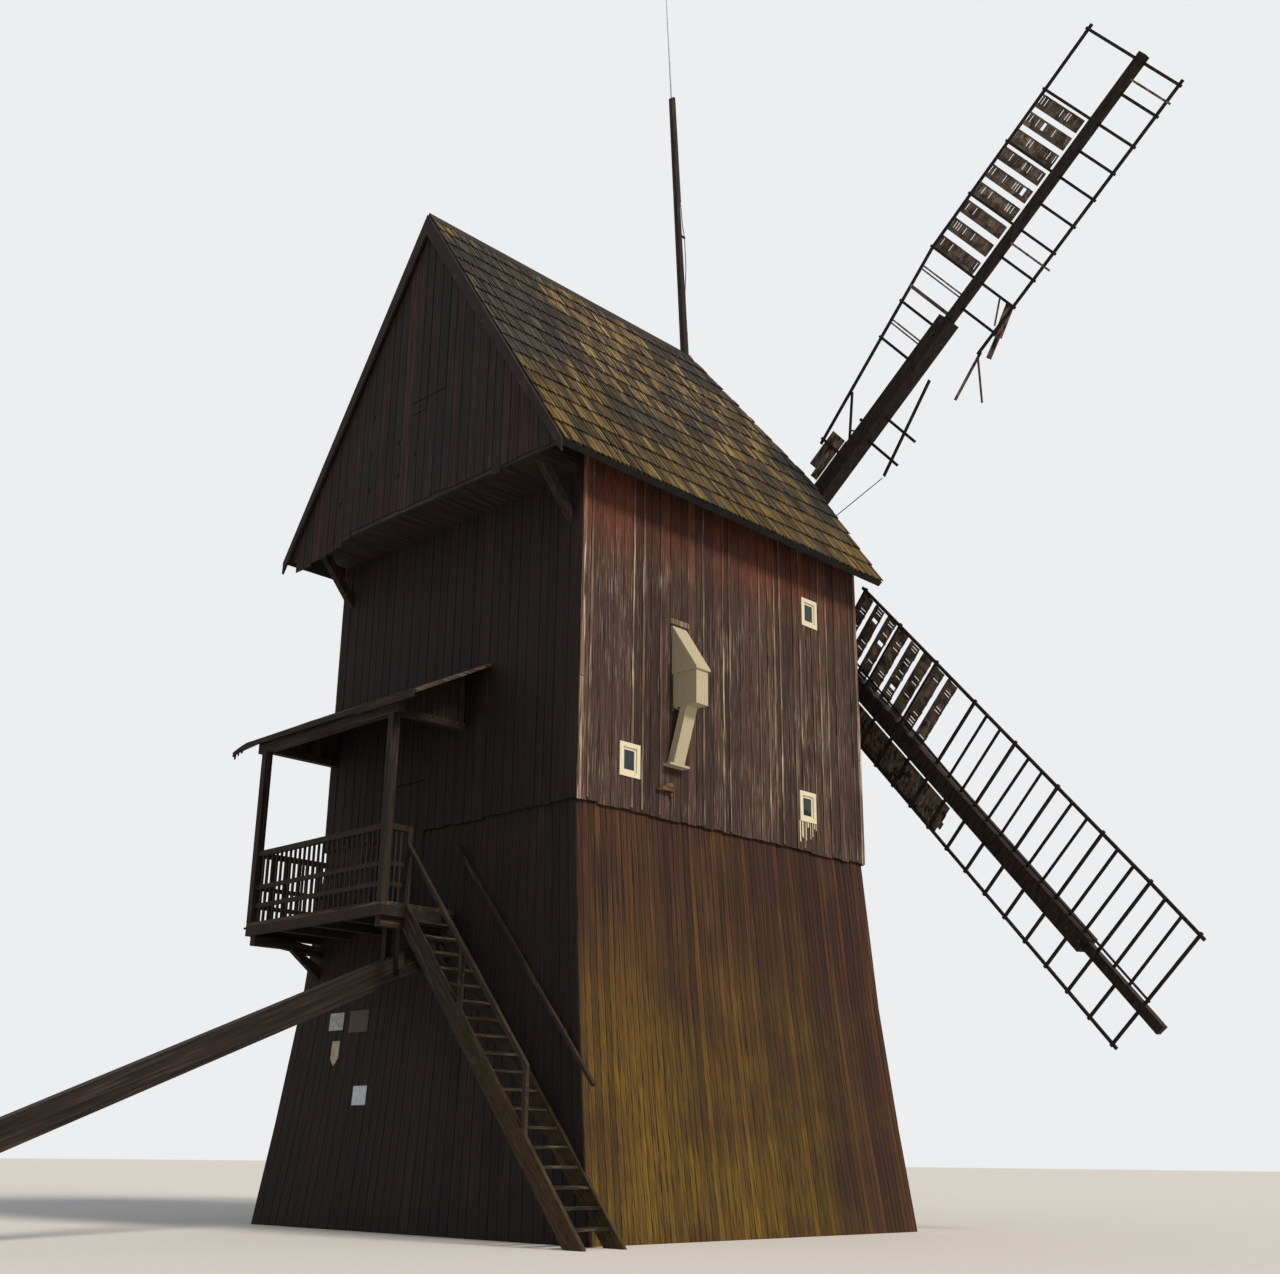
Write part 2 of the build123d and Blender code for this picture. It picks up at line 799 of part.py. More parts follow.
# Canopy over the balcony
canopy_eave = balcony_front - canopy_eave_reach
canopy_slope = (canopy_wall_height - canopy_eave_height) / (-half_length - canopy_eave)
canopy_lift = canopy_board / cos(atan2(canopy_slope, 1))
side_beam_top = canopy_beam_bottom + canopy_beam_size


def canopy_under(y):
    return canopy_eave_height + (y - canopy_eave) * canopy_slope


with BuildPart() as canopy_roof:
    canopy_outline = [
        (canopy_eave, canopy_under(canopy_eave)),
        (-half_length, canopy_under(-half_length)),
        (-half_length, canopy_under(-half_length) + canopy_lift),
        (canopy_eave, canopy_under(canopy_eave) + canopy_lift),
    ]
    prism(Plane.YZ.offset(canopy_left), canopy_outline, canopy_right - canopy_left)
canopy_roof.part.label = "canopy_roof"
export_step(canopy_roof.part, "parts/canopy_roof.step")

with BuildPart() as canopy_beams:
    front_beam_outline = [
        (post_line[0], canopy_beam_bottom),
        (post_line[1], canopy_beam_bottom),
        (post_line[1], canopy_under(post_line[1])),
        (post_line[0], canopy_under(post_line[0])),
    ]
    front_beam_start = balcony_left - canopy_beam_overrun
    front_beam_length = balcony_right - balcony_left + 2 * canopy_beam_overrun
    prism(Plane.YZ.offset(front_beam_start), front_beam_outline, front_beam_length)
    for x in post_lines_x:
        block(x, (post_line[1], -half_length), (canopy_beam_bottom, side_beam_top))
canopy_beams.part.label = "canopy_beams"
export_step(canopy_beams.part, "parts/canopy_beams.step")

with BuildPart() as canopy_cheeks:
    cheek_outline = [
        (post_line[1], side_beam_top),
        (-half_length, side_beam_top),
        (-half_length, canopy_under(-half_length)),
        (post_line[1], canopy_under(post_line[1])),
    ]
    for x in post_lines_x:
        prism(Plane.YZ.offset((x[0] + x[1] - canopy_cheek) / 2), cheek_outline, canopy_cheek)
canopy_cheeks.part.label = "canopy_cheeks"
export_step(canopy_cheeks.part, "parts/canopy_cheeks.step")

# Stair
stair_slope = lower_floor_top / (stair_foot - balcony_right)
stair_angle = atan2(stair_slope, 1)
stringer_drop = stringer_depth / cos(stair_angle)
riser = lower_floor_top / riser_count


def stringer_top(x):
    return (stair_foot - x) * stair_slope


with BuildPart() as stair_stringers:
    stringer_outline = [
        (balcony_right, stringer_top(balcony_right)),
        (stair_foot, 0),
        (stair_foot - stringer_drop / stair_slope, 0),
        (balcony_right, stringer_top(balcony_right) - stringer_drop),
    ]
    prism(Plane.XZ.offset(-stair_outer), stringer_outline, stringer_thickness)
    prism(Plane.XZ.offset(-stair_inner - stringer_thickness), stringer_outline, stringer_thickness)
    add(skirt_sides.part, mode=Mode.SUBTRACT)
    add(skirt_rear_wall.part, mode=Mode.SUBTRACT)
stair_stringers.part.label = "stair_stringers"
export_step(stair_stringers.part, "parts/stair_stringers.step")

with BuildPart() as stair_treads:
    for number in range(1, riser_count):
        top = number * riser
        nosing = stair_foot - top / stair_slope - tread_setback
        tread_z = (top - tread_thickness, top)
        block((nosing - tread_depth, nosing), (stair_outer, stair_inner), tread_z)
stair_treads.part.label = "stair_treads"
export_step(stair_treads.part, "parts/stair_treads.step")


def stair_rail(y, start, end, posts):
    """A sloping rail over a stringer, with posts that stand on the stringer's top edge."""
    rail_drop = stair_rail_size / cos(stair_angle)

    def slant(low_x, high_x, low, high):
        slant_outline = [
            (low_x, stringer_top(low_x) + low),
            (high_x, stringer_top(high_x) + low),
            (high_x, stringer_top(high_x) + high),
            (low_x, stringer_top(low_x) + high),
        ]
        prism(Plane.XZ.offset(-y), slant_outline, stringer_thickness)

    slant(start, end, stair_rail_height - rail_drop, stair_rail_height)
    for x in posts:
        slant(x, x + stair_post_size, 0, stair_rail_height - rail_drop)


def wall_rail_point(x, height):
    """The middle of the wall rail, at a height over the stair and a gap off the rear skirt."""
    z = stringer_top(x) + height
    return Vector(x, -skirt_rear(z) - wall_rail_gap - wall_rail_size / 2, z)


with BuildPart() as stair_rails:
    outer_posts = (outer_rail_middle_post, outer_rail_end - stair_post_size)
    stair_rail(stair_outer, newel_x[1], outer_rail_end, outer_posts)
    rail_foot = wall_rail_point(stair_foot - wall_rail_foot_setback, wall_rail_foot_height)
    rail_run = wall_rail_point(balcony_right - wall_rail_head_overrun, wall_rail_head_height) - rail_foot
    rail_plane = Plane(origin=rail_foot, x_dir=rail_run.cross(Vector(0, 0, 1)), z_dir=rail_run)
    with BuildSketch(rail_plane) as rail_end:
        Rectangle(wall_rail_size, wall_rail_size)
    extrude(rail_end.sketch, amount=rail_run.length)
    for share in wall_rail_brackets:
        place = rail_foot + rail_run * share
        bracket_x = (place.X - wall_rail_size / 2, place.X + wall_rail_size / 2)
        bracket_z = (place.Z - wall_rail_size / 2, place.Z + wall_rail_size / 2)
        block(bracket_x, (place.Y, -skirt_rear(place.Z) + wall_thickness / 2), bracket_z)
    add(skirt_rear_wall.part, mode=Mode.SUBTRACT)
stair_rails.part.label = "stair_rails"
export_step(stair_rails.part, "parts/stair_rails.step")

# Hangers that hold the tail pole under the balcony
with BuildPart() as tail_hangers:
    hanger_bottom = tail_top(hanger_front) - hanger_share * tail_drop
    for side in (-1, 1):
        hanger_x = (side * tail_pole_width / 2, side * (tail_pole_width / 2 + hanger_size))
        block(hanger_x, (hanger_front - hanger_size, hanger_front), (hanger_bottom, joist_top))
tail_hangers.part.label = "tail_hangers"
export_step(tail_hangers.part, "parts/tail_hangers.step")

# Mast and lightning rod
mast_plane = Plane(
    origin=(0, mast_foot_front, ridge_height),
    x_dir=(1, 0, 0),
    z_dir=(0, -sin(radians(mast_lean)), cos(radians(mast_lean))),
)

with BuildPart() as mast:
    with BuildSketch(mast_plane.offset(-mast_seat)):
        RegularPolygon(mast_foot_diameter / 2, mast_sides)
    with BuildSketch(mast_plane.offset(mast_height)):
        RegularPolygon(mast_top_diameter / 2, mast_sides)
    loft()
    add(roof_right.part, mode=Mode.SUBTRACT)
    add(roof_left.part, mode=Mode.SUBTRACT)
    add(ridge_boards.part, mode=Mode.SUBTRACT)
mast.part.label = "mast"
export_step(mast.part, "parts/mast.step")

with BuildPart() as lightning_rod:
    with BuildSketch(mast_plane.offset(mast_height)):
        RegularPolygon(rod_diameter / 2, rod_sides)
    with BuildSketch(mast_plane.offset(mast_height + rod_length)):
        RegularPolygon(rod_tip_diameter / 2, rod_sides)
    loft()
lightning_rod.part.label = "lightning_rod"
export_step(lightning_rod.part, "parts/lightning_rod.step")

# Feed chute on the side wall
chute_y = (chute_start, chute_start + chute_width)
chute_top = chute_bottom + chute_box_height
chute_out = half_width + chute_reach

with BuildPart() as chute_box:
    block((half_width, chute_out), chute_y, (chute_bottom, chute_top))
chute_box.part.label = "chute_box"
export_step(chute_box.part, "parts/chute_box.step")

with BuildPart() as chute_hood:
    hood_outline = [
        (half_width, chute_top),
        (chute_out + hood_overhang, chute_top),
        (chute_out + hood_overhang, chute_top + hood_overhang),
        (half_width, chute_top + hood_height),
    ]
    hood_width = chute_width + 2 * hood_overhang
    prism(Plane.XZ.offset(-chute_y[1] - hood_overhang), hood_outline, hood_width)
    cap_y = (chute_y[0] - 2 * hood_overhang, chute_y[1] + 2 * hood_overhang)
    cap_z = (chute_top + hood_height, chute_top + hood_height + cap_board_height)
    block((half_width, half_width + hood_overhang), cap_y, cap_z)
chute_hood.part.label = "chute_hood"
export_step(chute_hood.part, "parts/chute_hood.step")

with BuildPart() as chute_duct:
    duct_x = chute_out - duct_setback - duct_depth / 2
    duct_middle = Vector(duct_x, chute_y[0] + duct_width / 2, chute_bottom)
    duct_run = Vector(-duct_shift, -duct_side_shift, duct_foot - chute_bottom)
    with BuildSketch(Plane(origin=duct_middle)) as duct_section:
        Rectangle(duct_depth, duct_width)
    extrude(duct_section.sketch, amount=duct_run.length, dir=duct_run.normalized())
    foot_middle = duct_middle.Y + duct_run.Y
    foot_y = (foot_middle - foot_board_width / 2, foot_middle + foot_board_width / 2)
    foot_z = (duct_foot - foot_board_thickness, duct_foot)
    block((half_width, half_width + foot_board_reach), foot_y, foot_z)
chute_duct.part.label = "chute_duct"
export_step(chute_duct.part, "parts/chute_duct.step")

# Bare plates on the rear wall
plate_level = skirt_levels[1]
plate_run = skirt_rear(plate_level) - skirt_rear(skirt_levels[2])
plate_rise = skirt_levels[2] - plate_level
plate_face = Plane(
    origin=(0, -skirt_rear(plate_level), plate_level),
    x_dir=(1, 0, 0),
    z_dir=(0, -plate_rise, plate_run),
)

with BuildPart() as wall_plates:
    for start, bottom, width, height in plate_places:
        prism(plate_face, [
            (start, bottom - plate_level),
            (start + width, bottom - plate_level),
            (start + width, bottom - plate_level + height),
            (start, bottom - plate_level + height),
        ], plate_thickness)
    start, bottom, width, height = plaque_place
    shoulder = bottom - plate_level + height * plaque_shoulder_share
    prism(plate_face, [
        (start, bottom - plate_level),
        (start + width, bottom - plate_level),
        (start + width, shoulder),
        (start + width / 2, bottom - plate_level + height),
        (start, shoulder),
    ], plate_thickness)
wall_plates.part.label = "wall_plates"
export_step(wall_plates.part, "parts/wall_plates.step")

# Beams that carry the windshaft
bearings = [(neck_bearing_front, neck_radius), (tail_bearing_front, tail_radius)]

with BuildPart() as shaft_beams:
    for front, radius in bearings:
        bearing_y = (front - bearing_depth, front)
        seat = shaft_height(front - bearing_depth / 2)
        block((-ledge_x, ledge_x), bearing_y, (plate_top, plate_top + beam_height))
        block((-bearing_half_width, bearing_half_width), bearing_y, (plate_top, seat))
        with BuildSketch(shaft_axis):
            Circle(radius + journal_clearance)
        extrude(amount=body_length, mode=Mode.SUBTRACT)
shaft_beams.part.label = "shaft_beams"
export_step(shaft_beams.part, "parts/shaft_beams.step")

# Rotor
class Arm:
    """One sail arm: its turn about the shaft and the sizes of its stock."""

    def __init__(self, name, quarter, sizes):
        self.name = name
        self.turn = sail_turn + 90 * quarter
        self.sizes = sizes
        self.plane = turned(shaft_axis, self.turn).offset(sizes["offset"])
        self.sail = turned(shaft_axis, self.turn, weather_angle)
        self.sail.origin = self.plane.origin


arms = [
    Arm("upper_right", 0, stock_one_sizes),
    Arm("upper_left", 1, stock_two_sizes),
    Arm("lower_left", 2, stock_one_sizes),
    Arm("lower_right", 3, stock_two_sizes),
]

with BuildPart() as stocks:
    for arm in arms[:2]:
        with BuildSketch(arm.plane):
            Rectangle(2 * arm.sizes["stock_reach"], stock_width)
        extrude(amount=stock_depth / 2, both=True)
    for arm in arms:
        with BuildSketch(arm.plane):
            with Locations((arm.sizes["stock_reach"], 0)):
                Rectangle(2 * whip_housing, whip_width)
        extrude(amount=whip_depth / 2, both=True, mode=Mode.SUBTRACT)
stocks.part.label = "stocks"
export_step(stocks.part, "parts/stocks.step")

with BuildPart() as whips:
    for arm in arms:
        root = arm.sizes["stock_reach"] - whip_housing
        tip = arm.sizes["reach"]
        with BuildSketch(arm.plane):
            with Locations(((root + tip) / 2, 0)):
                Rectangle(tip - root, whip_width)
        extrude(amount=whip_depth / 2, both=True)
whips.part.label = "whips"
export_step(whips.part, "parts/whips.step")

with BuildPart() as windshaft:
    with BuildSketch(turned(shaft_axis.offset(-poll_depth / 2), sail_turn)):
        Rectangle(poll_size, poll_size)
    extrude(amount=poll_depth)
    with BuildSketch(shaft_axis):
        Circle(neck_radius)
    extrude(amount=neck_end)
    with BuildSketch(shaft_axis):
        Circle(tail_radius)
    extrude(amount=shaft_length)
    add(stocks.part, mode=Mode.SUBTRACT)
windshaft.part.label = "windshaft"
export_step(windshaft.part, "parts/windshaft.step")


def wide_at(arm, r):
    """Width of an arm's wide side at a distance r from the hub."""
    sizes = arm.sizes
    share = min((r - sizes["bars"][0]) / (sizes["full_width_from"] - sizes["bars"][0]), 1.0)
    return sizes["wide_root"] + (sizes["wide"] - sizes["wide_root"]) * share


def strip(plane, ends, half_width_of_strip, thickness):
    """A straight lath between two points of a plane."""
    (r1, w1), (r2, w2) = ends
    outline = [
        (r1, w1 - half_width_of_strip),
        (r2, w2 - half_width_of_strip),
        (r2, w2 + half_width_of_strip),
        (r1, w1 + half_width_of_strip),
    ]
    prism(plane, outline, thickness / 2, both=True)


def is_lost(arm, r, stretches):
    """Whether the broken sail has lost what stood at a distance r from the hub."""
    return arm.name == broken_sail and any(low < r < high for low, high in stretches)


def cross_bar(arm, r, end):
    """A bar across the sail, from the middle of its stock to its end on one side."""
    prism(arm.sail, [
        (r - bar_width / 2, 0),
        (r + bar_width / 2, 0),
        (r + bar_width / 2, end),
        (r - bar_width / 2, end),
    ], bar_thickness / 2, both=True)


def make_lattice(arm):
    """Cross bars and laths of one sail, cut off at the faces of its stock and whip."""
    bars = arm.sizes["bars"]
    half_bars = [(low + high) / 2 for low, high in zip(bars, bars[1:])]
    lath_start = bars[0] - lath_overrun
    lath_end = bars[-1] + lath_overrun
    bend = arm.sizes["full_width_from"]
    laths = [
        [(lath_start, wide_at(arm, lath_start)), (bend, wide_at(arm, bend))],
        [(bend, wide_at(arm, bend)), (lath_end, wide_at(arm, lath_end))],
    ]
    if arm.name == broken_sail:
        laths += [[(narrow_lath_break, -narrow_side), (lath_end, -narrow_side)], loose_lath, loose_strut]
    else:
        laths += [[(lath_start, -narrow_side), (lath_end, -narrow_side)]]
    with BuildPart() as lattice:
        for r in bars:
            if not is_lost(arm, r, lost_wide_bars):
                cross_bar(arm, r, wide_at(arm, r) + lath_overrun / 2)
        for r in bars + half_bars:
            if not is_lost(arm, r, lost_narrow_bars):
                cross_bar(arm, r, -narrow_side - lath_overrun / 2)
        for ends in laths:
            strip(arm.sail, ends, lath_width / 2, lath_thickness)
        add(stocks.part, mode=Mode.SUBTRACT)
        add(whips.part, mode=Mode.SUBTRACT)
    return lattice


for arm in arms:
    lattice = make_lattice(arm)
    lattice.part.label = f"lattice_{arm.name}"
    export_step(lattice.part, f"parts/lattice_{arm.name}.step")

with BuildPart() as shutters:
    for arm in arms:
        bars = arm.sizes["bars"]
        for low, high in zip(bars, bars[1:]):
            if arm.sizes["shutters_from"] <= low and high <= arm.sizes["shutters_to"]:
                pitch = (high - low) / shutters_per_bay
                for number in range(shutters_per_bay):
                    r = low + bar_width / 2 + number * pitch
                    far = min(r + shutter_height, high - bar_width / 2)
                    inner = stock_width / 2 + shutter_gap
                    prism(arm.sail, [
                        (r, inner),
                        (far, inner),
                        (far, wide_at(arm, far) - lath_width / 2),
                        (r, wide_at(arm, r) - lath_width / 2),
                    ], shutter_thickness / 2, both=True)
shutters.part.label = "shutters"
export_step(shutters.part, "parts/shutters.step")
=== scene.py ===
"""Looks of a traditional windmill: its boards, shingles, sails, paint and iron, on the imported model."""

import json
import math
import random
from itertools import cycle, pairwise

import bmesh
import bpy
from mathutils import Matrix, Vector

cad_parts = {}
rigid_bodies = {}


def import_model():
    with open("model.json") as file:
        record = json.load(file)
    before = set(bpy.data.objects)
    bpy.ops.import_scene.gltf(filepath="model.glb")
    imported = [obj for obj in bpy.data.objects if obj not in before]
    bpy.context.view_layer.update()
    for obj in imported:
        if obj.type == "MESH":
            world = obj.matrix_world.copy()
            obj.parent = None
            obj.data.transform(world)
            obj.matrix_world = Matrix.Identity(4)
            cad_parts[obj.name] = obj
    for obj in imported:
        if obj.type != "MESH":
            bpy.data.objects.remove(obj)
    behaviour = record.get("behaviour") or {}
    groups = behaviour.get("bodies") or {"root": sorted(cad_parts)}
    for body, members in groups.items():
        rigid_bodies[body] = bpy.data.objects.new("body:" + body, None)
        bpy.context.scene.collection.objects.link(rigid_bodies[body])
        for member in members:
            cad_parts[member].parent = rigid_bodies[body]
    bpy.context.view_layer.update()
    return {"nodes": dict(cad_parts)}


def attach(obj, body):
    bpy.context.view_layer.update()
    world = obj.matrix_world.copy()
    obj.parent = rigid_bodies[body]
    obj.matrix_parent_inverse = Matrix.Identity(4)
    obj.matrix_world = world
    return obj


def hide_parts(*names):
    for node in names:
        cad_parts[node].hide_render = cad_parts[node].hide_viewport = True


bl_info = {
    "name": "Traditional Windmill",
    "version": (1, 0, 0),
    "blender": (4, 5, 0),
    "location": "View3D > Sidebar > Windmill",
    "description": "Boards, shingles, sails and finishes of a timber windmill",
    "category": "Object",
}

for leftover in list(bpy.data.objects):
    bpy.data.objects.remove(leftover)
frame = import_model()

# Places of the mill's faces in metres and radians, as the CAD has them
WALL_X = 2.68
WALL_Y = 3.0
WALL_FOOT = 5.14
WALL_TOP = 10.16
WALL_SPACE = (2.6, 2.8)
EAVES = 9.60
SKIRT_LEVELS = (0.0, 1.3, 3.0, 5.14)
SKIRT_X = (3.340, 3.112, 2.8545, 2.640)
SKIRT_REAR = (-3.270, -3.169, -3.055, -2.960)
SKIRT_FRONT = (2.980, 2.975, 2.968, 2.960)
GABLE_BACK = -3.780
GABLE_PEAK = 14.279
ROOF_SLOPE = 1.527
EAVE_X = 3.167
EAVE_Z = 9.606
EAVE_FRONT_Y = 3.12
RIDGE_Z = 14.443
VERGE_REAR = -3.83
HIP_TOP = Vector((0, 2.07, RIDGE_Z))
HIP_FOOT = (1.665, 3.30, 11.90)
WINDOW_STARTS = ((-2.259, 5.559), (1.459, 5.559), (1.612, 8.610))
WINDOW_SIZE = (0.376, 0.450)
WINDOW_CASING = 0.062
CHUTE_SPACE = ((2.6, -1.312, 6.60), (2.8, -0.944, 7.94))
DOOR_IN_WALL = ((-1.25, -3.2, 3.9), (-0.35, -2.9, 5.85))
DOOR_IN_SKIRT = ((-1.25, -3.4, 3.95), (-0.35, -2.8, 5.3))
DOOR_FACE = -2.981
DOOR_ENDS = (-1.243, -0.357)
DOOR_HEIGHTS = (3.962, 5.843)
FLOOR_RUN = (-4.22, -3.030)
FLOOR_ENDS = (-2.65, 0.47)
FLOOR_LEVEL = 3.900
CANOPY_EAVE = (-4.300, 6.540)
CANOPY_WALL = (-3.020, 7.2095)
CANOPY_ENDS = (-3.310, 1.000)
MAST_FOOT_Y = 1.925
MAST_RISE = 5.30
MAST_LEAN = math.radians(4.0)
MAST_RADII = (0.070, 0.047)
POLE_SLOPE = math.radians(23.6)
STAIR_SLOPE = math.radians(49.3)

# The rotor: its hub, how its shaft and its arms turn, and each stock's bars, in metres from the hub.
# wide holds the wide side's width at the first bar, its full width and where it is full
HUB = (0.0, 4.037, 10.702)
SHAFT_TILT = math.radians(4.08)
SHAFT_HOLE = 0.345
SAIL_TURN = math.radians(37.9)
WEATHER = math.radians(13.8)
STOCK_OFFSET = 0.155
STOCK_HALF = 0.15
ARM_ONE = {
    "bars": (2.68, 3.66, 4.65, 5.33, 6.33, 7.35, 8.33, 9.28, 10.35),
    "wide": (0.60, 1.05, 6.33),
    "shutters": (6.33, 9.28),
}
ARM_TWO = {
    "bars": (2.01, 2.99, 3.97, 4.95, 5.93, 6.91, 7.89, 8.87, 9.85),
    "wide": (1.36, 1.48, 8.87),
    "shutters": (2.01, 3.97),
}

# Sizes of the carpenter's pieces, in metres
BOARD_GAP = 0.007
BOARD_LIP = 0.03
RAGGED = 0.03
SKIRT_THICKNESS = 0.012
STRIP_CHANCE = 0.6
STRIP_THICKNESS = 0.014
STRIP_LIP = 0.02
CORNER_STRIP = 0.07
PLANK_GAP = 0.006
DOOR_PITCH = 0.178
FLOOR_PITCH = 0.132
FLOOR_THICKNESS = 0.05
CANOPY_PITCH = 0.172
SHINGLE_THICKNESS = 0.032
SHINGLE_LAP = 1.3
HIP_COURSES = 7
SASH_RAIL = 0.036
SASH_OVERLAP = 0.003
CANOPY_THICKNESS = 0.054
DROOP_START = -2.90
DROOP = 0.09
SHUTTER_START = 0.0225
SHUTTER_LENGTH = 0.23
WIRE_RADIUS = 0.008
BOLT_SIZE = 0.06


def srgb(colour):
    """A hex colour as linear red, green, blue and alpha. A colour property is linear already."""
    if not isinstance(colour, str):
        return tuple(colour)
    channels = [int(colour[at:at + 2], 16) / 255 for at in (1, 3, 5)]
    linear = [c / 12.92 if c <= 0.04045 else ((c + 0.055) / 1.055) ** 2.4 for c in channels]
    return (*linear, 1.0)


def a_length(name, description, default, low, high):
    return bpy.props.FloatProperty(name=name, description=description, default=default, min=low, max=high,
                                   unit="LENGTH")


def a_colour(name, description, code):
    return bpy.props.FloatVectorProperty(name=name, description=description, default=srgb(code), size=4,
                                         min=0, max=1, subtype="COLOR")


class WindmillSizes(bpy.types.PropertyGroup):
    """Sizes of the boards, strips, shingles and slats."""

    side_board: a_length("Side board", "Mean width of an upper side board", 0.18, 0.08, 0.4)
    skirt_board: a_length("Skirt board", "Mean width of a lower board", 0.105, 0.06, 0.3)
    rear_board: a_length("Rear board", "Mean width of a rear wall board", 0.20, 0.08, 0.4)
    board_thickness: a_length("Board thickness", "How far the boards stand out", 0.014, 0.006, 0.03)
    strip_width: a_length("Cover strip", "Width of the strips over the board joints", 0.045, 0.02, 0.08)
    courses: bpy.props.IntProperty(
        name="Shingle courses", description="Rows of shingles from the eave to the ridge",
        default=14, min=8, max=30)
    shingle_width: a_length("Shingle width", "Mean width of a split shingle", 0.085, 0.06, 0.3)
    splint_pitch: a_length("Splint pitch", "Distance between a shutter's splints", 0.058, 0.03, 0.12)


class WindmillColours(bpy.types.PropertyGroup):
    """Main colours of the finishes."""

    side: a_colour("Side boards", "Brown of the weathered upper boards", "#4c372d")
    silver: a_colour("Bleached wood", "Grey of the bleached ridges of the grain", "#a89885")
    skirt: a_colour("Skirt boards", "Brown of the lower boards", "#462c15")
    # The rear colour is painted shade over a brown slightly less bleached than the sides'
    rear: a_colour("Rear boards", "Dark brown of the sheltered rear boards", "#201613")
    shingle: a_colour("Shingles", "Brown of the split shingles", "#78633c")
    moss: a_colour("Moss", "Yellow-green growth on the shingles and low boards", "#6e5615")
    tar: a_colour("Tarred timber", "Black-brown of the sails", "#2b211c")
    paint: a_colour("Cream paint", "Oil paint of the feed chute", "#b8ad8e")


def between(start, end, share):
    return start + (end - start) * share


def flare(levels_at, height):
    """A skirt face's distance at a height, on straight runs between its levels."""
    for low, high, near, far in zip(SKIRT_LEVELS, SKIRT_LEVELS[1:], levels_at, levels_at[1:]):
        if height <= high:
            return near + (far - near) * (height - low) / (high - low)
    return levels_at[-1]


# Tools for modelling


def deselect():
    if bpy.context.object and bpy.context.object.mode != "OBJECT":
        bpy.ops.object.mode_set(mode="OBJECT")
    bpy.ops.object.select_all(action="DESELECT")


def settled():
    """The new primitive, with its place and size moved into its mesh."""
    bpy.ops.object.transform_apply(location=True, rotation=True, scale=True)
    return bpy.context.object


def opened(piece):
    """Opens a piece in edit mode with all of it selected."""
    deselect()
    piece.select_set(True)
    bpy.context.view_layer.objects.active = piece
    bpy.ops.object.mode_set(mode="EDIT")
    bpy.ops.mesh.select_all(action="SELECT")


def taken(piece):
    """The mesh of a modelled piece that is only there to be copied."""
    bpy.ops.object.mode_set(mode="OBJECT")
    mesh = piece.data
    bpy.data.objects.remove(piece)
    return mesh


def added(name, data):
    """A new object with this mesh, lamp or camera, in the scene."""
    piece = bpy.data.objects.new(name, data)
    bpy.context.collection.objects.link(piece)
    return piece


def pick(piece, test):
    """In edit mode, selects the vertices whose place passes the test."""
    mesh = bmesh.from_edit_mesh(piece.data)
    for part in (*mesh.faces, *mesh.edges, *mesh.verts):
        part.select_set(False)
    for vertex in mesh.verts:
        if test(vertex.co):
            vertex.select_set(True)
    mesh.select_flush(True)
    bmesh.update_edit_mesh(piece.data)


def unit_board(ease=0.04, cuts=(), lean=0.0, core=0.7):
    """A board one unit wide, thick and long. Past its core the face narrows by ease on each side, and lean
    tips its top end back."""
    deselect()
    bpy.ops.mesh.primitive_cube_add(size=1, location=(0.5, core / 2, 0.5), scale=(1, core, 1))
    board = settled()
    bpy.ops.object.mode_set(mode="EDIT")
    pick(board, lambda at: at.y > core / 2)
    bpy.ops.mesh.extrude_region_move(TRANSFORM_OT_translate={"value": (0, 1 - core, 0)})
    bpy.ops.transform.resize(value=(1 - 2 * ease, 1, 1), center_override=(0.5, 0.5, 0.5))
    if lean:
        for part in bmesh.from_edit_mesh(board.data).verts:
            part.co.y = part.co.y * (1 - lean) + lean * (1 - part.co.z)
    for height in cuts:
        bpy.ops.mesh.select_all(action="SELECT")
        bpy.ops.mesh.bisect(plane_co=(0, 0, height), plane_no=(0, 0, 1))
    return taken(board)


def unit_bolt():
    """A bolt head one unit across on its washer, with its top towards +Z."""
    washer = 0.12
    deselect()
    bpy.ops.mesh.primitive_cylinder_add(vertices=12, radius=0.5, depth=washer, location=(0, 0, washer / 2))
    bolt = settled()
    bpy.ops.object.mode_set(mode="EDIT")
    pick(bolt, lambda at: at.z > washer / 2)
    bpy.ops.mesh.inset(thickness=0.2)
    bpy.ops.mesh.extrude_region_move(TRANSFORM_OT_translate={"value": (0, 0, 0.28)})
    return taken(bolt)


def joined(name, parts):
    """Joins copies into one piece whose faces all point outwards."""
    deselect()
    for part in parts:
        part.select_set(True)
    piece = parts[0]
    bpy.context.view_layer.objects.active = piece
    if len(parts) > 1:
        bpy.ops.object.join()
    piece.name = name
    piece.data.name = name
    opened(piece)
    bpy.ops.mesh.normals_make_consistent(inside=False)
    bpy.ops.object.mode_set(mode="OBJECT")
    return piece


def laid(name, unit, rows, surface):
    """One copy of the unit board per row (across, across end, up, up end, depth, depth end, tone),
    each laid on a surface that turns (across, up, out) into a point."""
    boards = []
    for left, right, low, high, near, far, tone in rows:
        mesh = unit.copy()
        for vertex in mesh.vertices:
            x, y, z = vertex.co
            vertex.co = surface(between(left, right, x), between(low, high, z), between(near, far, y))
        tones = mesh.attributes.new("tone", "FLOAT", "FACE")
        tones.data.foreach_set("value", [tone] * len(mesh.polygons))
        along = mesh.attributes.new("along", "FLOAT", "POINT")
        along.data.foreach_set("value", [vertex.co.z for vertex in unit.vertices])
        boards.append(added(name, mesh))
    return joined(name, boards)


def copied(name, unit, places):
    """One copy of the unit at each place, joined into one piece."""
    parts = []
    for place in places:
        mesh = unit.copy()
        mesh.transform(place)
        parts.append(added(name, mesh))
    return joined(name, parts)


def slanted(face, start, end):
    """A surface whose up direction runs from start to end, and their distance. Both are (up, across) on
    the face."""
    run_up, run_across = end[0] - start[0], end[1] - start[1]
    reach = math.hypot(run_up, run_across)
    along_up, along_across = run_up / reach, run_across / reach

    def surface(across, up, out):
        return face(start[1] + along_across * up + along_up * across,
                    start[0] + along_up * up - along_across * across, out)
    return surface, reach


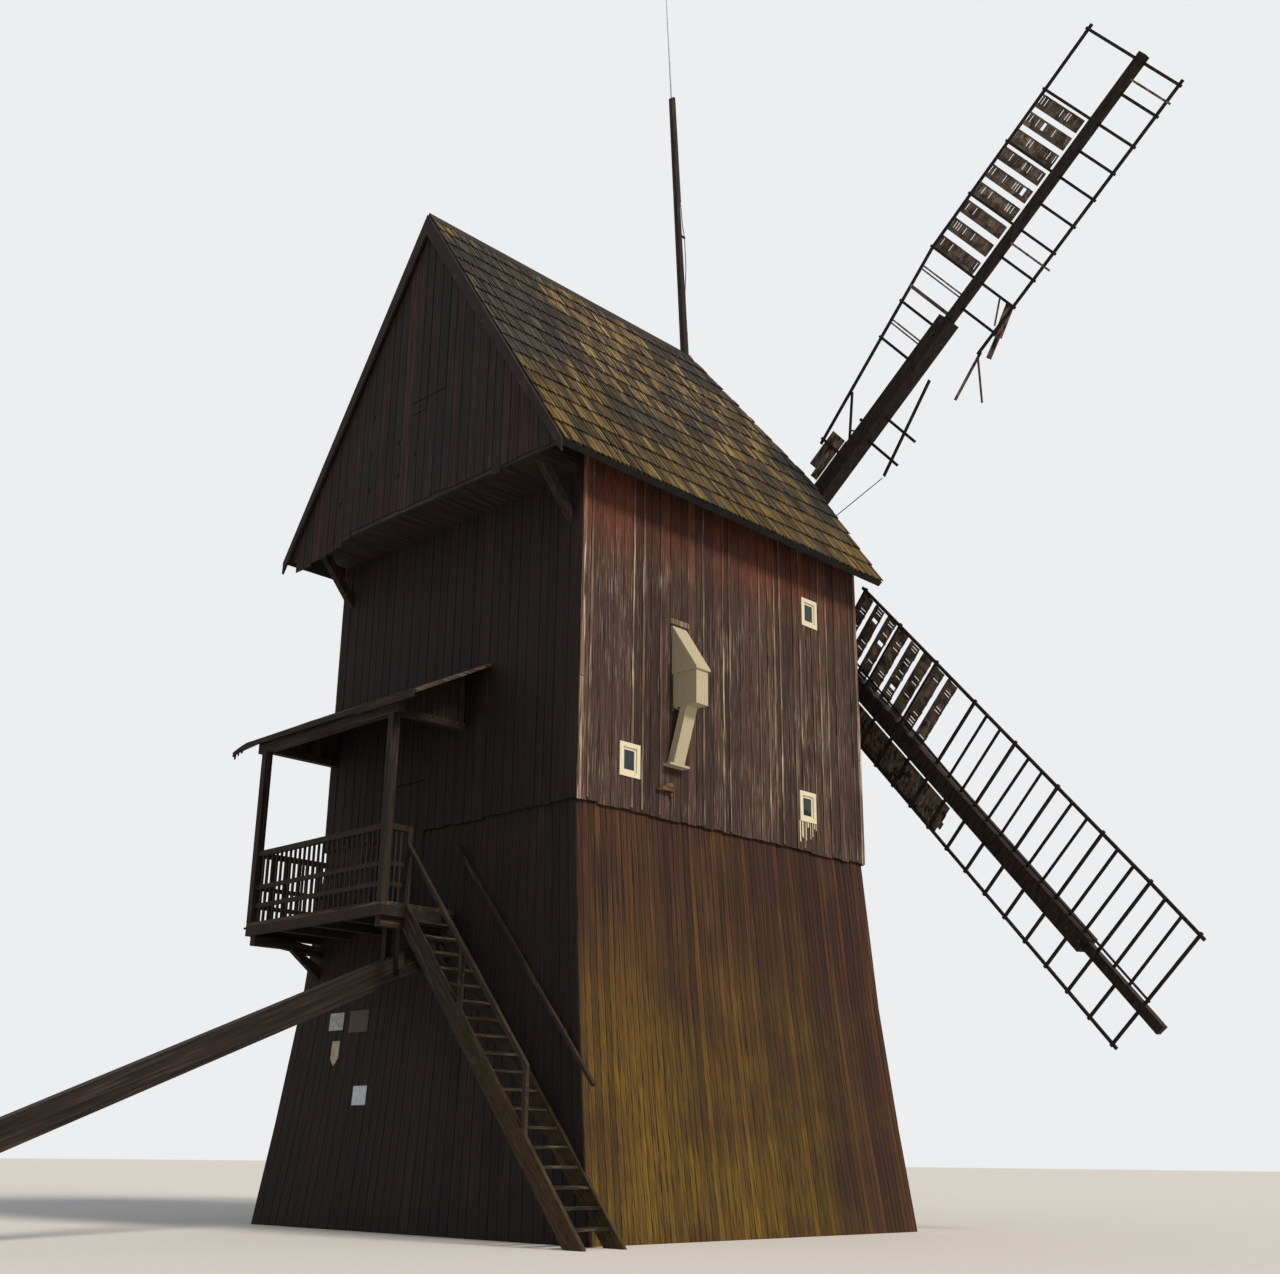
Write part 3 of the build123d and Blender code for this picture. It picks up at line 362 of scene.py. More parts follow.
def battens(name, unit, face, places, draw):
    """Battens on a face, each given by its start, end, width and the depths of its two sides."""
    parts = []
    for start, end, width, near, far in places:
        surface, reach = slanted(face, start, end)
        row = (-width / 2, width / 2, 0.0, reach, near, far, draw.random())
        parts.append(laid(name, unit, [row], surface))
    return joined(name, parts)


def wire(name, points, radius):
    """A round wire bent from point to point."""
    points = [Vector(point) for point in points]
    turn = (points[1] - points[0]).to_track_quat("Z", "Y").to_euler()
    deselect()
    bpy.ops.mesh.primitive_circle_add(vertices=8, radius=radius, fill_type="NGON", location=points[0],
                                      rotation=turn)
    made = settled()
    opened(made)
    for start, end in pairwise(points):
        bpy.ops.mesh.extrude_region_move(TRANSFORM_OT_translate={"value": end - start})
    return joined(name, [made])


def sliced(piece, point, normal):
    """Cuts off what lies past a plane and closes the cut."""
    opened(piece)
    bpy.ops.mesh.bisect(plane_co=point, plane_no=Vector(normal).normalized(), use_fill=True,
                        clear_outer=True)
    bpy.ops.object.mode_set(mode="OBJECT")


def carved(piece, cutter):
    """Cuts the cutter's shape out of a piece and removes the cutter."""
    modifier = piece.modifiers.new("opening", "BOOLEAN")
    modifier.operation = "DIFFERENCE"
    modifier.solver = "EXACT"
    modifier.object = cutter
    deselect()
    bpy.context.view_layer.objects.active = piece
    bpy.ops.object.modifier_apply(modifier=modifier.name)
    bpy.data.objects.remove(cutter)


def cut_through(piece, boxes):
    """Cuts box-shaped openings, each given by its lowest and highest corner."""
    for low, high in boxes:
        deselect()
        bpy.ops.mesh.primitive_cube_add(size=1, location=(Vector(low) + Vector(high)) / 2,
                                        scale=Vector(high) - Vector(low))
        carved(piece, bpy.context.object)


def finished(piece, finish, body="mill", stands_for=()):
    """Gives a piece its finish and the body that it moves with."""
    piece.data.materials.clear()
    piece.data.materials.append(finishes[finish])
    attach(piece, body)
    if stands_for:
        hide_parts(*stands_for)


def board_edges(start, end, pitch, spread, draw):
    """Joints between boards of uneven width that fill a run."""
    widths = [draw.uniform(1 - spread, 1 + spread) for _ in range(max(1, round((end - start) / pitch)))]
    scale = (end - start) / sum(widths)
    edges = [start]
    for width in widths:
        edges.append(edges[-1] + width * scale)
    return edges


def board_rows(edges, low, high, depth, draw, ragged=(RAGGED, 0.0), gap=BOARD_GAP, proud=0.004):
    """Rows for laid(): a board between each two joints. ragged is how far its foot and head may fall short,
    and proud how much thicker it may be."""
    return [(left + gap / 2, right - gap / 2, low + draw.uniform(0, ragged[0]),
             high - draw.uniform(0, ragged[1]), 0.0, depth + draw.uniform(0, proud), draw.random())
            for left, right in pairwise(edges)]


def skirt_rows(edges, gaps, draw):
    """Rows for laid(): boards down to the ground, with the gaps in turn between them."""
    return [(left + gap / 2, right - gap / 2, 0.0, SKIRT_LEVELS[-1], 0.0,
             SKIRT_THICKNESS + draw.uniform(0, 0.003), draw.random())
            for (left, right), gap in zip(pairwise(edges), cycle(gaps))]


# Materials

# What every node of a kind is set to here. A MapRange's inputs are a value, its low and high end, and what
# these ends turn to, which is 0 and 1 where it isn't given
SETTINGS = {"Mix": {"data_type": "RGBA"}, "MapRange": {"interpolation_type": "SMOOTHSTEP"}}
finishes = {}


def node(tree, kind, inputs=(), output=None, **settings):
    """Adds a node and returns one of its outputs. inputs holds the values of its first sockets in turn, or
    a value for each named socket. A value is the output that it comes from, a number or a colour."""
    made = tree.nodes.new("ShaderNode" + kind)
    for name, value in (SETTINGS.get(kind, {}) | settings).items():
        setattr(made, name, value)
    if not isinstance(inputs, dict):
        inputs = dict(zip([number for number, socket in enumerate(made.inputs) if socket.enabled], inputs))
    for socket, value in inputs.items():
        if isinstance(value, bpy.types.NodeSocket):
            tree.links.new(value, made.inputs[socket])
        else:
            made.inputs[socket].default_value = value
    if output:
        return made.outputs[output]
    return next((socket for socket in made.outputs if socket.enabled), None)


def new_material(name):
    material = bpy.data.materials.new(name)
    material.use_nodes = True
    material.node_tree.nodes.clear()
    return material, material.node_tree


def dressed(tree, height, strength, relief, inputs):
    """The end of a material: its relief, and its shader with these inputs."""
    bump = node(tree, "Bump", {"Height": height, "Strength": strength, "Distance": relief})
    node(tree, "OutputMaterial", [node(tree, "BsdfPrincipled", {**inputs, "Normal": bump})])


def timber(name, brown, bleached, share=0.45, grain=(0.035, 0.035, 1.1), turn=(0, 0, 0), tones=(0.68, 1.28),
           second=None, growth=None, growth_side=None, stain=None, lap_shade=False, dark_patches=0.0,
           hollows=(0.38, 0.58), ridged=(0.52, 0.66), dark="#1b130f", relief=0.004):
    """Sawn or hewn timber, weathered bare. The soft early wood has gone, so the hard late wood stands in
    silvery ridges, the hollows stay dark brown, and nothing shines. The ridges are 2 to 4 mm wide on real
    boards and are drawn 15 to 60 mm wide, so that they show.

    grain is the size of a streak in metres, turn its slope and second the brown that some boards tend to.
    growth and stain are (colour, height where it starts, height where it is full, strength), and
    growth_side is (place along the wall where the growth has gone, place where it is full). grime is the
    strength of broad dark patches above the eaves, stronger higher up. laps darkens each shingle just below
    the butt of the course above it with painted shade. hollows and ridged are the noise ranges over which
    the dark hollows end and the silver ridges start."""
    material, tree = new_material(name)
    brown, dark = srgb(brown), srgb(dark)
    place = node(tree, "TexCoord", output="Object")
    parted = node(tree, "SeparateXYZ", [place]).node.outputs
    along = node(tree, "Mapping", {"Vector": place, "Rotation": turn, "Scale": grain}, vector_type="TEXTURE")
    streaks = node(tree, "TexNoise", {"Vector": along, "Scale": 1.0, "Detail": 5.0, "Roughness": 0.62})
    ridges = node(tree, "TexNoise", {
        "Vector": along, "Scale": 1.45, "Detail": 3.0, "Roughness": 0.5, "Distortion": 0.3})
    fibres = node(tree, "TexNoise", {"Vector": along, "Scale": 3.7, "Detail": 3.0, "Roughness": 0.6})
    patches = node(tree, "TexNoise", {"Vector": place, "Scale": 0.9, "Detail": 4.0, "Roughness": 0.55})
    tone = node(tree, "Attribute", output="Fac", attribute_name="tone")
    if second:
        number = node(tree, "Math", [tone, 7.3], operation="MULTIPLY")
        number = node(tree, "Math", [number], operation="FRACT")
        brown = node(tree, "Mix", [node(tree, "MapRange", [number, 0.35, 0.75]), brown, srgb(second)])
    colour = node(tree, "Mix", [node(tree, "MapRange", [streaks, *hollows]), dark, brown])
    silver = node(tree, "Math", [
        node(tree, "MapRange", [ridges, *ridged]),
        node(tree, "MapRange", [patches, 0.32, 0.66, share * 0.3, share * 1.6]),
    ], operation="MULTIPLY", use_clamp=True)
    colour = node(tree, "Mix", [silver, colour, srgb(bleached)])
    for cast, side in ((growth, growth_side), (stain, None)):
        if cast:
            shade, start, full, strength = cast
            cover = node(tree, "Math", [
                node(tree, "MapRange", [parted["Z"], start, full]),
                node(tree, "MapRange", [patches, 0.28, 0.66, 0.2, strength]),
            ], operation="MULTIPLY", use_clamp=True)
            if side:
                reach = node(tree, "MapRange", [parted["Y"], *side, 0.15, 1.0])
                cover = node(tree, "Math", [cover, reach], operation="MULTIPLY")
            tinted = node(tree, "Mix", [node(tree, "MapRange", [fibres, 0.34, 0.62]), dark, srgb(shade)])
            colour = node(tree, "Mix", [cover, colour, tinted])
    # Broad dark patches over the roof, stronger higher up
    if dark_patches:
        patch_noise = node(tree, "TexNoise", {"Vector": place, "Scale": 0.55, "Detail": 5.0, "Roughness": 0.6})
        cover = node(tree, "Math", [
            node(tree, "MapRange", [patch_noise, 0.42, 0.56, 0.0, dark_patches]),
            node(tree, "MapRange", [parted["Z"], 10.2, 11.4, 0.3, 1.0]),
        ], operation="MULTIPLY")
        colour = node(tree, "Mix", [cover, colour, srgb("#26241f")])
    # Painted shade: each shingle turns near black just below the butt of the course that laps over it
    if lap_shade:
        end = node(tree, "Attribute", output="Fac", attribute_name="along")
        under = node(tree, "MapRange", [end, 0.62, 0.74, 0.0, 0.85])
        colour = node(tree, "Mix", [under, colour, srgb("#120c08")])
    if tones:
        value = node(tree, "MapRange", [tone, 0.0, 1.0, *tones], interpolation_type="LINEAR")
        colour = node(tree, "HueSaturation", {"Value": value, "Color": colour})
    dressed(tree, streaks, 0.7, relief, {
        "Base Color": colour, "Roughness": 0.82, "Specular IOR Level": 0.25})
    return material


def oil_paint(name, paint, wood):
    """Oil paint brushed on sawn boards. It has chalked to a dull cream and flaked to grey wood in spots.
    Brush marks are 3 mm wide on real boards and are drawn at 15 mm, so that they show."""
    material, tree = new_material(name)
    fresh = srgb(paint)
    thin = (*(channel * 0.82 for channel in fresh[:3]), 1.0)
    place = node(tree, "TexCoord", output="Object")
    brushed = node(tree, "Mapping", {"Vector": place, "Scale": (66, 66, 5)})
    strokes = node(tree, "TexNoise", {"Vector": brushed, "Scale": 1.0, "Detail": 4.0, "Roughness": 0.6})
    flakes = node(tree, "TexNoise", {"Vector": place, "Scale": 24.0, "Detail": 6.0, "Roughness": 0.68})
    shade = node(tree, "Mix", [node(tree, "MapRange", [strokes, 0.3, 0.7]), thin, fresh])
    colour = node(tree, "Mix", [node(tree, "MapRange", [flakes, 0.63, 0.68]), shade, srgb(wood)])
    dressed(tree, strokes, 0.4, 0.002, {"Base Color": colour, "Roughness": 0.62})
    return material


def plain_finish(name, first, second, size, roughness, metallic=0.0):
    """A finish with mottles of a size in metres, between two colours."""
    material, tree = new_material(name)
    place = node(tree, "TexCoord", output="Object")
    mottle = node(tree, "TexNoise", {"Vector": place, "Scale": 1 / size, "Detail": 5.0, "Roughness": 0.6})
    colour = node(tree, "Mix", [node(tree, "MapRange", [mottle, 0.35, 0.65]), srgb(first), srgb(second)])
    rough = node(tree, "MapRange", [mottle, 0.3, 0.7, roughness * 0.8, min(1.0, roughness * 1.2)])
    dressed(tree, mottle, 0.5, 0.001, {"Base Color": colour, "Roughness": rough, "Metallic": metallic})
    return material


# Which finish each CAD node has. The others are uprights
CAD_FINISHES = {
    "backing": ("wall_sides", "wall_rear", "wall_front", "skirt_sides", "skirt_rear", "skirt_front",
                "gable_rear", "gable_front", "roof_left", "roof_right", "roof_hip"),
    "lengthways": ("ridge_boards", "jetty_floor", "eaves_plates", "outriggers", "floors"),
    "across": ("canopy_beams", "floor_beams", "cross_sill", "shaft_beams"),
    "verge": ("bargeboards",),
    "joinery": ("balcony_joists", "railing_front"),
    "stair": ("stair_stringers", "stair_rails"),
    "tread": ("stair_treads",),
    "pole": ("tail_pole",),
    "casing": ("window_frames",),
    "glass": ("window_panes",),
    "paint": ("chute_box", "chute_duct", "chute_hood"),
    "steel": ("lightning_rod",),
    "tar": ("stocks", "whips", "windshaft", "lattice_lower_left", "lattice_lower_right",
            "lattice_upper_left", "lattice_upper_right"),
}


class WINDMILL_OT_finishes(bpy.types.Operator):
    """Make every finish and give the CAD nodes theirs"""

    bl_idname = "windmill.finishes"
    bl_label = "Finishes"

    def execute(self, context):
        colours = context.scene.windmill_colours
        moss = colours.moss
        oak = ("#2a201a", "#564b42")
        # A grain that runs through a board's whole depth looks the same on its face and its edge
        through = 50
        finishes.update({
            # Pine boards, sawn and left bare: bleached on the sunny sides; the rear and gable boards are a
            # duller brown darkened further with painted shade
            "side": timber(
                "weathered_pine_side_boards", colours.side, colours.silver, 0.42, (0.015, 0.015, 0.6),
                tones=(0.62, 1.3), second="#43302a", stain=("#693520", 8.0, 9.3, 0.9), hollows=(0.34, 0.62),
                ridged=(0.54, 0.70), dark="#241814"),
            "strip": timber(
                "bleached_pine_cover_strips", "#6b5849", "#c9baa0", 0.6, (0.02, 0.02, 0.8),
                tones=(0.55, 1.3), stain=("#6d3b26", 8.2, 9.4, 0.9), dark="#2c201a"),
            "skirt": timber(
                "stained_pine_skirt_boards", colours.skirt, "#694c2f", 0.3, (through, 0.03, 1.6),
                tones=(0.6, 1.3), second="#3a1f16", growth=(moss, 4.2, 1.6, 0.95), growth_side=(2.6, 0.6),
                dark="#22140d"),
            "skirt_end": timber(
                "stained_pine_front_skirt", colours.skirt, "#694c2f", 0.3, (0.035, through, 1.6),
                tones=(0.6, 1.3), second="#3a1f16", growth=(moss, 4.2, 1.6, 0.6), dark="#22140d"),
            # Painted shade: the rear boards, the rear skirt and the door are darkened to near black, over a
            # slightly less bleached brown
            "rear": timber(
                "pine_rear_boards_painted_shade", colours.rear, "#382b28", 0.25, (0.035, through, 1.6),
                second="#201512", dark="#0c0909"),
            # Painted shade: the gable boards are darkened to near black
            "gable": timber(
                "pine_gable_boards_painted_shade", "#251a1b", "#483b3a", 0.3, tones=(0.6, 1.3), second="#351f1a",
                dark="#0e0a0a"),
            "verge": timber(
                "weathered_pine_bargeboards", "#2a211f", "#4d433d", 0.2, (0.3, 0.3, 0.3), tones=None,
                hollows=(0.2, 0.7), dark="#1b1513", relief=0.001),
            "plank": timber(
                "grey_pine_planks", "#4a3d33", "#8c8072", 0.5, (0.03, 0.9, 0.03), dark="#1a1410"),
            "floor_plank": timber(
                "grey_pine_floor_planks", "#3a2e25", "#6f6355", 0.4, (0.9, 0.03, 0.03), dark="#15100c"),
            "sail_board": timber(
                "weathered_pine_sail_boards", "#76675a", "#a99c8c", 0.5, (0.06, 0.06, 0.25),
                (0, SAIL_TURN, 0), tones=(0.6, 1.3), dark="#17110e"),
            "slat": timber(
                "grey_pine_sail_splints", "#75675a", "#a5998a", 0.5, (0.2, 0.2, 0.2), tones=(0.6, 1.3),
                dark="#4a3d34"),
            "bare": timber(
                "bare_ochre_pine", "#6d4f33", "#a48558", 0.6, (0.4, 0.4, 0.03), tones=(0.7, 1.2),
                dark="#33231a"),
            # Larch shingles, split along the grain: rough ochre fibres, with painted shade under each lap
            "shingle": timber(
                "split_larch_shingles", colours.shingle, "#b5a071", 0.55, (through, 0.03, 0.6),
                tones=(0.25, 1.7), second="#3c2a1c", growth=(moss, 12.6, 9.9, 0.8), lap_shade=True, dark_patches=0.9,
                dark="#120b07"),
            "shingle_hip": timber(
                "split_larch_hip_shingles", colours.shingle, "#a8946c", 0.5, (0.03, through, 0.6),
                tones=(0.30, 1.45), second="#43301f", lap_shade=True, dark_patches=0.6, dark="#150e09"),
            # Oak beams, hewn or sawn: near black with tar or age, greyer where feet and rain wear them
            "tar": timber(
                "tarred_oak_sail_timber", colours.tar, "#4b4039", 0.25, (0.06, 0.06, 0.25),
                (0, SAIL_TURN, 0), tones=None, dark="#120d0b"),
            "pole": timber(
                "weathered_oak_tail_pole", "#261e1a", "#4f463e", 0.25, (0.05, 1.4, 0.05), (POLE_SLOPE, 0, 0),
                tones=None, dark="#120d0b"),
            "upright": timber("weathered_oak_uprights", *oak, 0.3, tones=None, dark="#120d0b"),
            "across": timber(
                "weathered_oak_cross_beams", *oak, 0.3, (1.1, 0.035, 0.035), tones=None, dark="#120d0b"),
            "lengthways": timber(
                "weathered_oak_long_beams", *oak, 0.3, (0.035, 1.1, 0.035), tones=None, dark="#120d0b"),
            "joinery": timber(
                "weathered_oak_joinery", "#281f19", "#463c34", 0.15, (0.3, 0.3, 0.3), tones=None,
                hollows=(0.2, 0.7), dark="#1a1411"),
            "stair": timber(
                "worn_oak_stair", "#281f18", "#574c3d", 0.3, (0.5, 0.04, 0.04), (0, STAIR_SLOPE, 0),
                growth=(moss, 3.6, 0.4, 0.3), tones=None, dark="#100c0a"),
            "tread": timber(
                "worn_oak_treads", "#372a1e", "#75674f", 0.35, (0.04, 0.5, 0.04), tones=None,
                dark="#14100b"),
            "paint": oil_paint("chalked_cream_oil_paint", colours.paint, "#6f6152"),
            "casing": oil_paint("white_cream_window_paint", "#e0d9bd", "#8b7c69"),
            # The wall's core is near black as painted shade, and shows only in the joints and holes between
            # the boards
            "backing": plain_finish("shaded_wall_core", "#0e0a08", "#17110d", 0.3, 0.9),
            # Old drawn glass with a dark room behind it: smooth, with sharp reflections
            "glass": plain_finish("old_window_glass", "#141618", "#1d2224", 0.2, 0.06),
            # Forged iron, rusted all over: brown scale that hides most of the metal
            "iron": plain_finish("rusted_wrought_iron", "#2c2522", "#4a342a", 0.02, 0.7, 0.4),
            # Drawn steel dipped in zinc: a dull grey metal with faint spangles
            "steel": plain_finish("galvanised_steel_rod", "#5d6063", "#7d8082", 0.03, 0.45, 1.0),
            # Enamel fired on sheet steel is smooth. Painted, varnished and cast plates have gone dull
            "enamel": plain_finish("pale_blue_white_enamel", "#a9b4bc", "#c2cacd", 0.06, 0.4),
            "grey_plate": plain_finish("weathered_grey_plate", "#7d7f7c", "#a5a59e", 0.07, 0.5),
            "board_plate": plain_finish("bare_dark_brown_sign_board", "#33261b", "#453424", 0.05, 0.7),
            "plaque": plain_finish("beige_plaque", "#958b74", "#aea48c", 0.05, 0.6),
        })
        chosen = {name: finish for finish, names in CAD_FINISHES.items() for name in names}
        for name, piece in frame["nodes"].items():
            for slot in piece.material_slots:
                slot.material = finishes[chosen.get(name, "upright")]
        return {"FINISHED"}


# Boards of the walls. CORNER_RUNS holds the foot, head, thickness and tone of the strips at each corner
CORNER_RUNS = ((5.12, 6.72, 0.016, 0.9), (6.73, 10.16, 0.018, 1.0))
FRONT_TOP = 12.30
FRONT_CUT = ((0, WALL_Y, 11.85), (0, 1, 1.9))
SKIRT_GAPS = (0.003, 0.0085)


def side_face(sign):
    return lambda across, up, out: Vector((sign * (WALL_X + out), across, up))


def end_face(sign):
    return lambda across, up, out: Vector((across, sign * (WALL_Y + out), up))


def window_boxes():
    """The space that the window frames fill, on both sides."""
    width, height = WINDOW_SIZE
    boxes = []
    for sign in (-1, 1):
        inner, outer = sorted(sign * reach for reach in WALL_SPACE)
        boxes += [((inner, y, z), (outer, y + width, z + height)) for y, z in WINDOW_STARTS]
    return boxes


class WINDMILL_OT_side_boards(bpy.types.Operator):
    """Board the upper side walls and cover their joints with strips"""

    bl_idname = "windmill.side_boards"
    bl_label = "Side boards"

    def execute(self, context):
        sizes = context.scene.windmill_sizes
        draw = random.Random(11)
        unit = unit_board()
        for sign, side in ((1, "right"), (-1, "left")):
            edges = board_edges(-WALL_Y, WALL_Y, sizes.side_board, 0.28, draw)
            rows = board_rows(edges, WALL_FOOT - BOARD_LIP, WALL_TOP, sizes.board_thickness, draw)
            piece = laid(f"side_boards_{side}", unit, rows, side_face(sign))
            cut_through(piece, window_boxes())
            finished(piece, "side")
            base = sizes.board_thickness + 0.002
            rows = []
            for edge in edges[1:-1]:
                if draw.random() < STRIP_CHANCE:
                    half = sizes.strip_width * draw.uniform(0.5, 1.0) / 2
                    foot = WALL_FOOT - STRIP_LIP + draw.uniform(0, 0.05)
                    rows.append((edge - half, edge + half, foot, WALL_TOP, base, base + STRIP_THICKNESS,
                                 draw.random()))
            for corner in (-WALL_Y, WALL_Y - CORNER_STRIP):
                for foot, head, thickness, tone in CORNER_RUNS:
                    rows.append((corner, corner + CORNER_STRIP, foot, head, base, base + thickness, tone))
            piece = laid(f"cover_strips_{side}", unit, rows, side_face(sign))
            cut_through(piece, window_boxes() + ([CHUTE_SPACE] if sign > 0 else []))
            finished(piece, "strip")
        return {"FINISHED"}


class WINDMILL_OT_end_boards(bpy.types.Operator):
    """Board the upper rear and front walls"""

    bl_idname = "windmill.end_boards"
    bl_label = "End boards"

    def execute(self, context):
        sizes = context.scene.windmill_sizes
        draw = random.Random(12)
        unit = unit_board()
        pieces = []
        for sign, side, top in ((-1, "rear", EAVES), (1, "front", FRONT_TOP)):
            edges = board_edges(-WALL_X, WALL_X, sizes.rear_board, 0.25, draw)
            rows = board_rows(edges, WALL_FOOT - BOARD_LIP, top, sizes.board_thickness, draw)
            pieces.append(laid(f"{side}_boards", unit, rows, end_face(sign)))
        rear, front = pieces
        cut_through(rear, [DOOR_IN_WALL])
        finished(rear, "rear")
        for sign in (-1, 1):
            sliced(front, (0, WALL_Y, GABLE_PEAK - 0.04), (sign * ROOF_SLOPE, 0, 1))
        sliced(front, *FRONT_CUT)
        deselect()
        shaft_height = HUB[2] - (HUB[1] - WALL_Y) * math.tan(SHAFT_TILT)
        bpy.ops.mesh.primitive_cylinder_add(vertices=40, radius=SHAFT_HOLE, depth=1.0,
                                            location=(0, WALL_Y, shaft_height), rotation=(math.pi / 2, 0, 0))
        carved(front, bpy.context.object)
        finished(front, "side")
        return {"FINISHED"}


class WINDMILL_OT_skirt_boards(bpy.types.Operator):
    """Board the flared lower walls down to the ground"""

    bl_idname = "windmill.skirt_boards"
    bl_label = "Skirt boards"

    def execute(self, context):
        sizes = context.scene.windmill_sizes
        draw = random.Random(13)
        unit = unit_board(0.05, [level / SKIRT_LEVELS[-1] for level in SKIRT_LEVELS[1:-1]])
        reach = SKIRT_FRONT[0] - SKIRT_REAR[0]
        for sign, side in ((1, "right"), (-1, "left")):
            def face(across, up, out, sign=sign):
                y = between(flare(SKIRT_REAR, up), flare(SKIRT_FRONT, up), across)
                return Vector((sign * (flare(SKIRT_X, up) + out), y, up))
            edges = board_edges(0, 1, sizes.skirt_board / reach, 0.16, draw)
            rows = skirt_rows(edges, [gap / reach for gap in SKIRT_GAPS], draw)
            finished(laid(f"skirt_boards_{side}", unit, rows, face), "skirt")
        reach = SKIRT_X[1]
        for sign, side, levels in ((-1, "rear", SKIRT_REAR), (1, "front", SKIRT_FRONT)):
            def face(across, up, out, levels=levels, sign=sign):
                half = flare(SKIRT_X, up) + SKIRT_THICKNESS
                return Vector((across * half, flare(levels, up) + sign * out, up))
            edges = board_edges(-1, 1, sizes.skirt_board * 1.7 / reach, 0.2, draw)
            piece = laid(f"skirt_boards_{side}", unit, skirt_rows(edges, [PLANK_GAP / reach], draw), face)
            if side == "rear":
                cut_through(piece, [DOOR_IN_SKIRT])
                finished(piece, "rear")
            else:
                finished(piece, "skirt_end")
        return {"FINISHED"}


# The rear gable: height of the boards' feet up to each place across, the hatch lines (start, end, height),
# and the air holes with half their width and height
GABLE_HALF = 3.06
GABLE_BOARD = 0.19
GABLE_TOP = 14.3
GABLE_FEET = ((-2.85, 9.60), (-2.44, 9.36), (-2.03, 9.42), (-1.73, 9.46), (-1.43, 9.55), (1.78, 9.645),
              (1.90, 9.52), (4.0, 9.62))
GABLE_SPLITS = ((-0.25, 0.28, 11.10), (-0.25, 0.62, 11.29))
GABLE_HOLES = ((-1.069, 11.399), (-0.407, 10.758), (-1.091, 10.793), (-0.005, 10.440), (-0.381, 10.216),
               (-1.071, 10.201), (-1.818, 10.201))
HOLE_HALF = (0.026, 0.038)


class WINDMILL_OT_gable_boards(bpy.types.Operator):
    """Board the rear gable, with its ragged lower ends"""

    bl_idname = "windmill.gable_boards"
    bl_label = "Gable boards"

    def execute(self, context):
        draw = random.Random(14)
        unit = unit_board()
        edges = board_edges(-GABLE_HALF, GABLE_HALF, GABLE_BOARD, 0.2, draw)
        rows = []
        for left, right in pairwise(edges):
            tone = draw.random()
            depth = 0.014 + draw.uniform(0, 0.004)
            middle = (left + right) / 2
            low = next(height for reach, height in GABLE_FEET if middle < reach) + draw.uniform(0, RAGGED)
            splits = [height for start, end, height in GABLE_SPLITS if start < middle < end]
            for foot, head in zip([low, *splits], [*splits, GABLE_TOP]):
                rows.append((left + PLANK_GAP / 2, right - PLANK_GAP / 2, foot + PLANK_GAP,
                             head - PLANK_GAP, 0.0, depth, tone))
                depth += 0.005
        piece = laid("gable_boards", unit, rows,
                     lambda across, up, out: Vector((across, GABLE_BACK - out, up)))
        wide, tall = HOLE_HALF
        cut_through(piece, [
            ((x - wide, GABLE_BACK - 0.06, z - tall), (x + wide, GABLE_BACK + 0.004, z + tall))
            for x, z in GABLE_HOLES
        ])
        for sign in (-1, 1):
            sliced(piece, (0, GABLE_BACK, GABLE_PEAK), (sign * ROOF_SLOPE, 0, 1))
        finished(piece, "gable")
        return {"FINISHED"}


# Roof


def slope_face(sign):
    """The top of a roof slope: along the ridge, up the slope, and out from it."""
    rise = Vector((-EAVE_X, 0, RIDGE_Z - EAVE_Z)).normalized()
    out_of = Vector((RIDGE_Z - EAVE_Z, 0, EAVE_X)).normalized()

    def face(across, up, out):
        point = Vector((EAVE_X, across, EAVE_Z)) + rise * up + out_of * out
        return Vector((sign * point.x, point.y, point.z))
    return face


def course_rows(start, end, slope, courses, width, draw):
    """Rows of shingles that lap over each other, from the eave up."""
    exposure = slope / courses
    rows = []
    for course in range(courses):
        low = course * exposure
        joints = board_edges(start, end, width, 0.3, draw)
        high = min(low + exposure * SHINGLE_LAP, slope)
        for left, right in pairwise(joints):
            gap = draw.choice((0.006, 0.010, 0.014))
            rows.append((left + gap, right - gap, low - draw.uniform(0, 0.015), high,
                         0.0, SHINGLE_THICKNESS + draw.uniform(0, 0.010), draw.random()))
    return rows


class WINDMILL_OT_shingles(bpy.types.Operator):
    """Lay the shingle courses on the roof slopes and the front hip"""

    bl_idname = "windmill.shingles"
    bl_label = "Shingles"

    def execute(self, context):
        sizes = context.scene.windmill_sizes
        width = sizes.shingle_width
        draw = random.Random(15)
        unit = unit_board(0.06, lean=0.6)
        slope = math.hypot(EAVE_X, RIDGE_Z - EAVE_Z)
        for sign, side in ((1, "right"), (-1, "left")):
            rows = course_rows(VERGE_REAR, HIP_FOOT[1], slope, sizes.courses, width, draw)
            piece = laid(f"shingles_{side}", unit, rows, slope_face(sign))
            foot = Vector((sign * HIP_FOOT[0], *HIP_FOOT[1:]))
            corner = Vector((sign * EAVE_X, EAVE_FRONT_Y, EAVE_Z))
            out_of = Vector((sign * (RIDGE_Z - EAVE_Z), 0, EAVE_X)).normalized()
            for first, second in ((HIP_TOP, foot), (foot, corner)):
                normal = (second - first).cross(out_of).normalized()
                if normal.y < 0:
                    normal.negate()
                sliced(piece, first, normal)
            finished(piece, "shingle")
        foot = Vector((0, *HIP_FOOT[1:]))
        rise = (HIP_TOP - foot).normalized()
        out_of = Vector((0, rise.z, -rise.y))
        rows = course_rows(-HIP_FOOT[0], HIP_FOOT[0], (HIP_TOP - foot).length, HIP_COURSES, width, draw)
        piece = laid("shingles_hip", unit, rows,
                     lambda across, up, out: foot + Vector((across, 0, 0)) + rise * up + out_of * out)
        for sign in (-1, 1):
            edge = HIP_TOP - Vector((sign * HIP_FOOT[0], *HIP_FOOT[1:]))
            normal = edge.cross(out_of).normalized()
            if normal.x * sign < 0:
                normal.negate()
            sliced(piece, HIP_TOP, normal)
        finished(piece, "shingle_hip")
        return {"FINISHED"}


# Windows and feed chute
PAINT_RUNS = 9


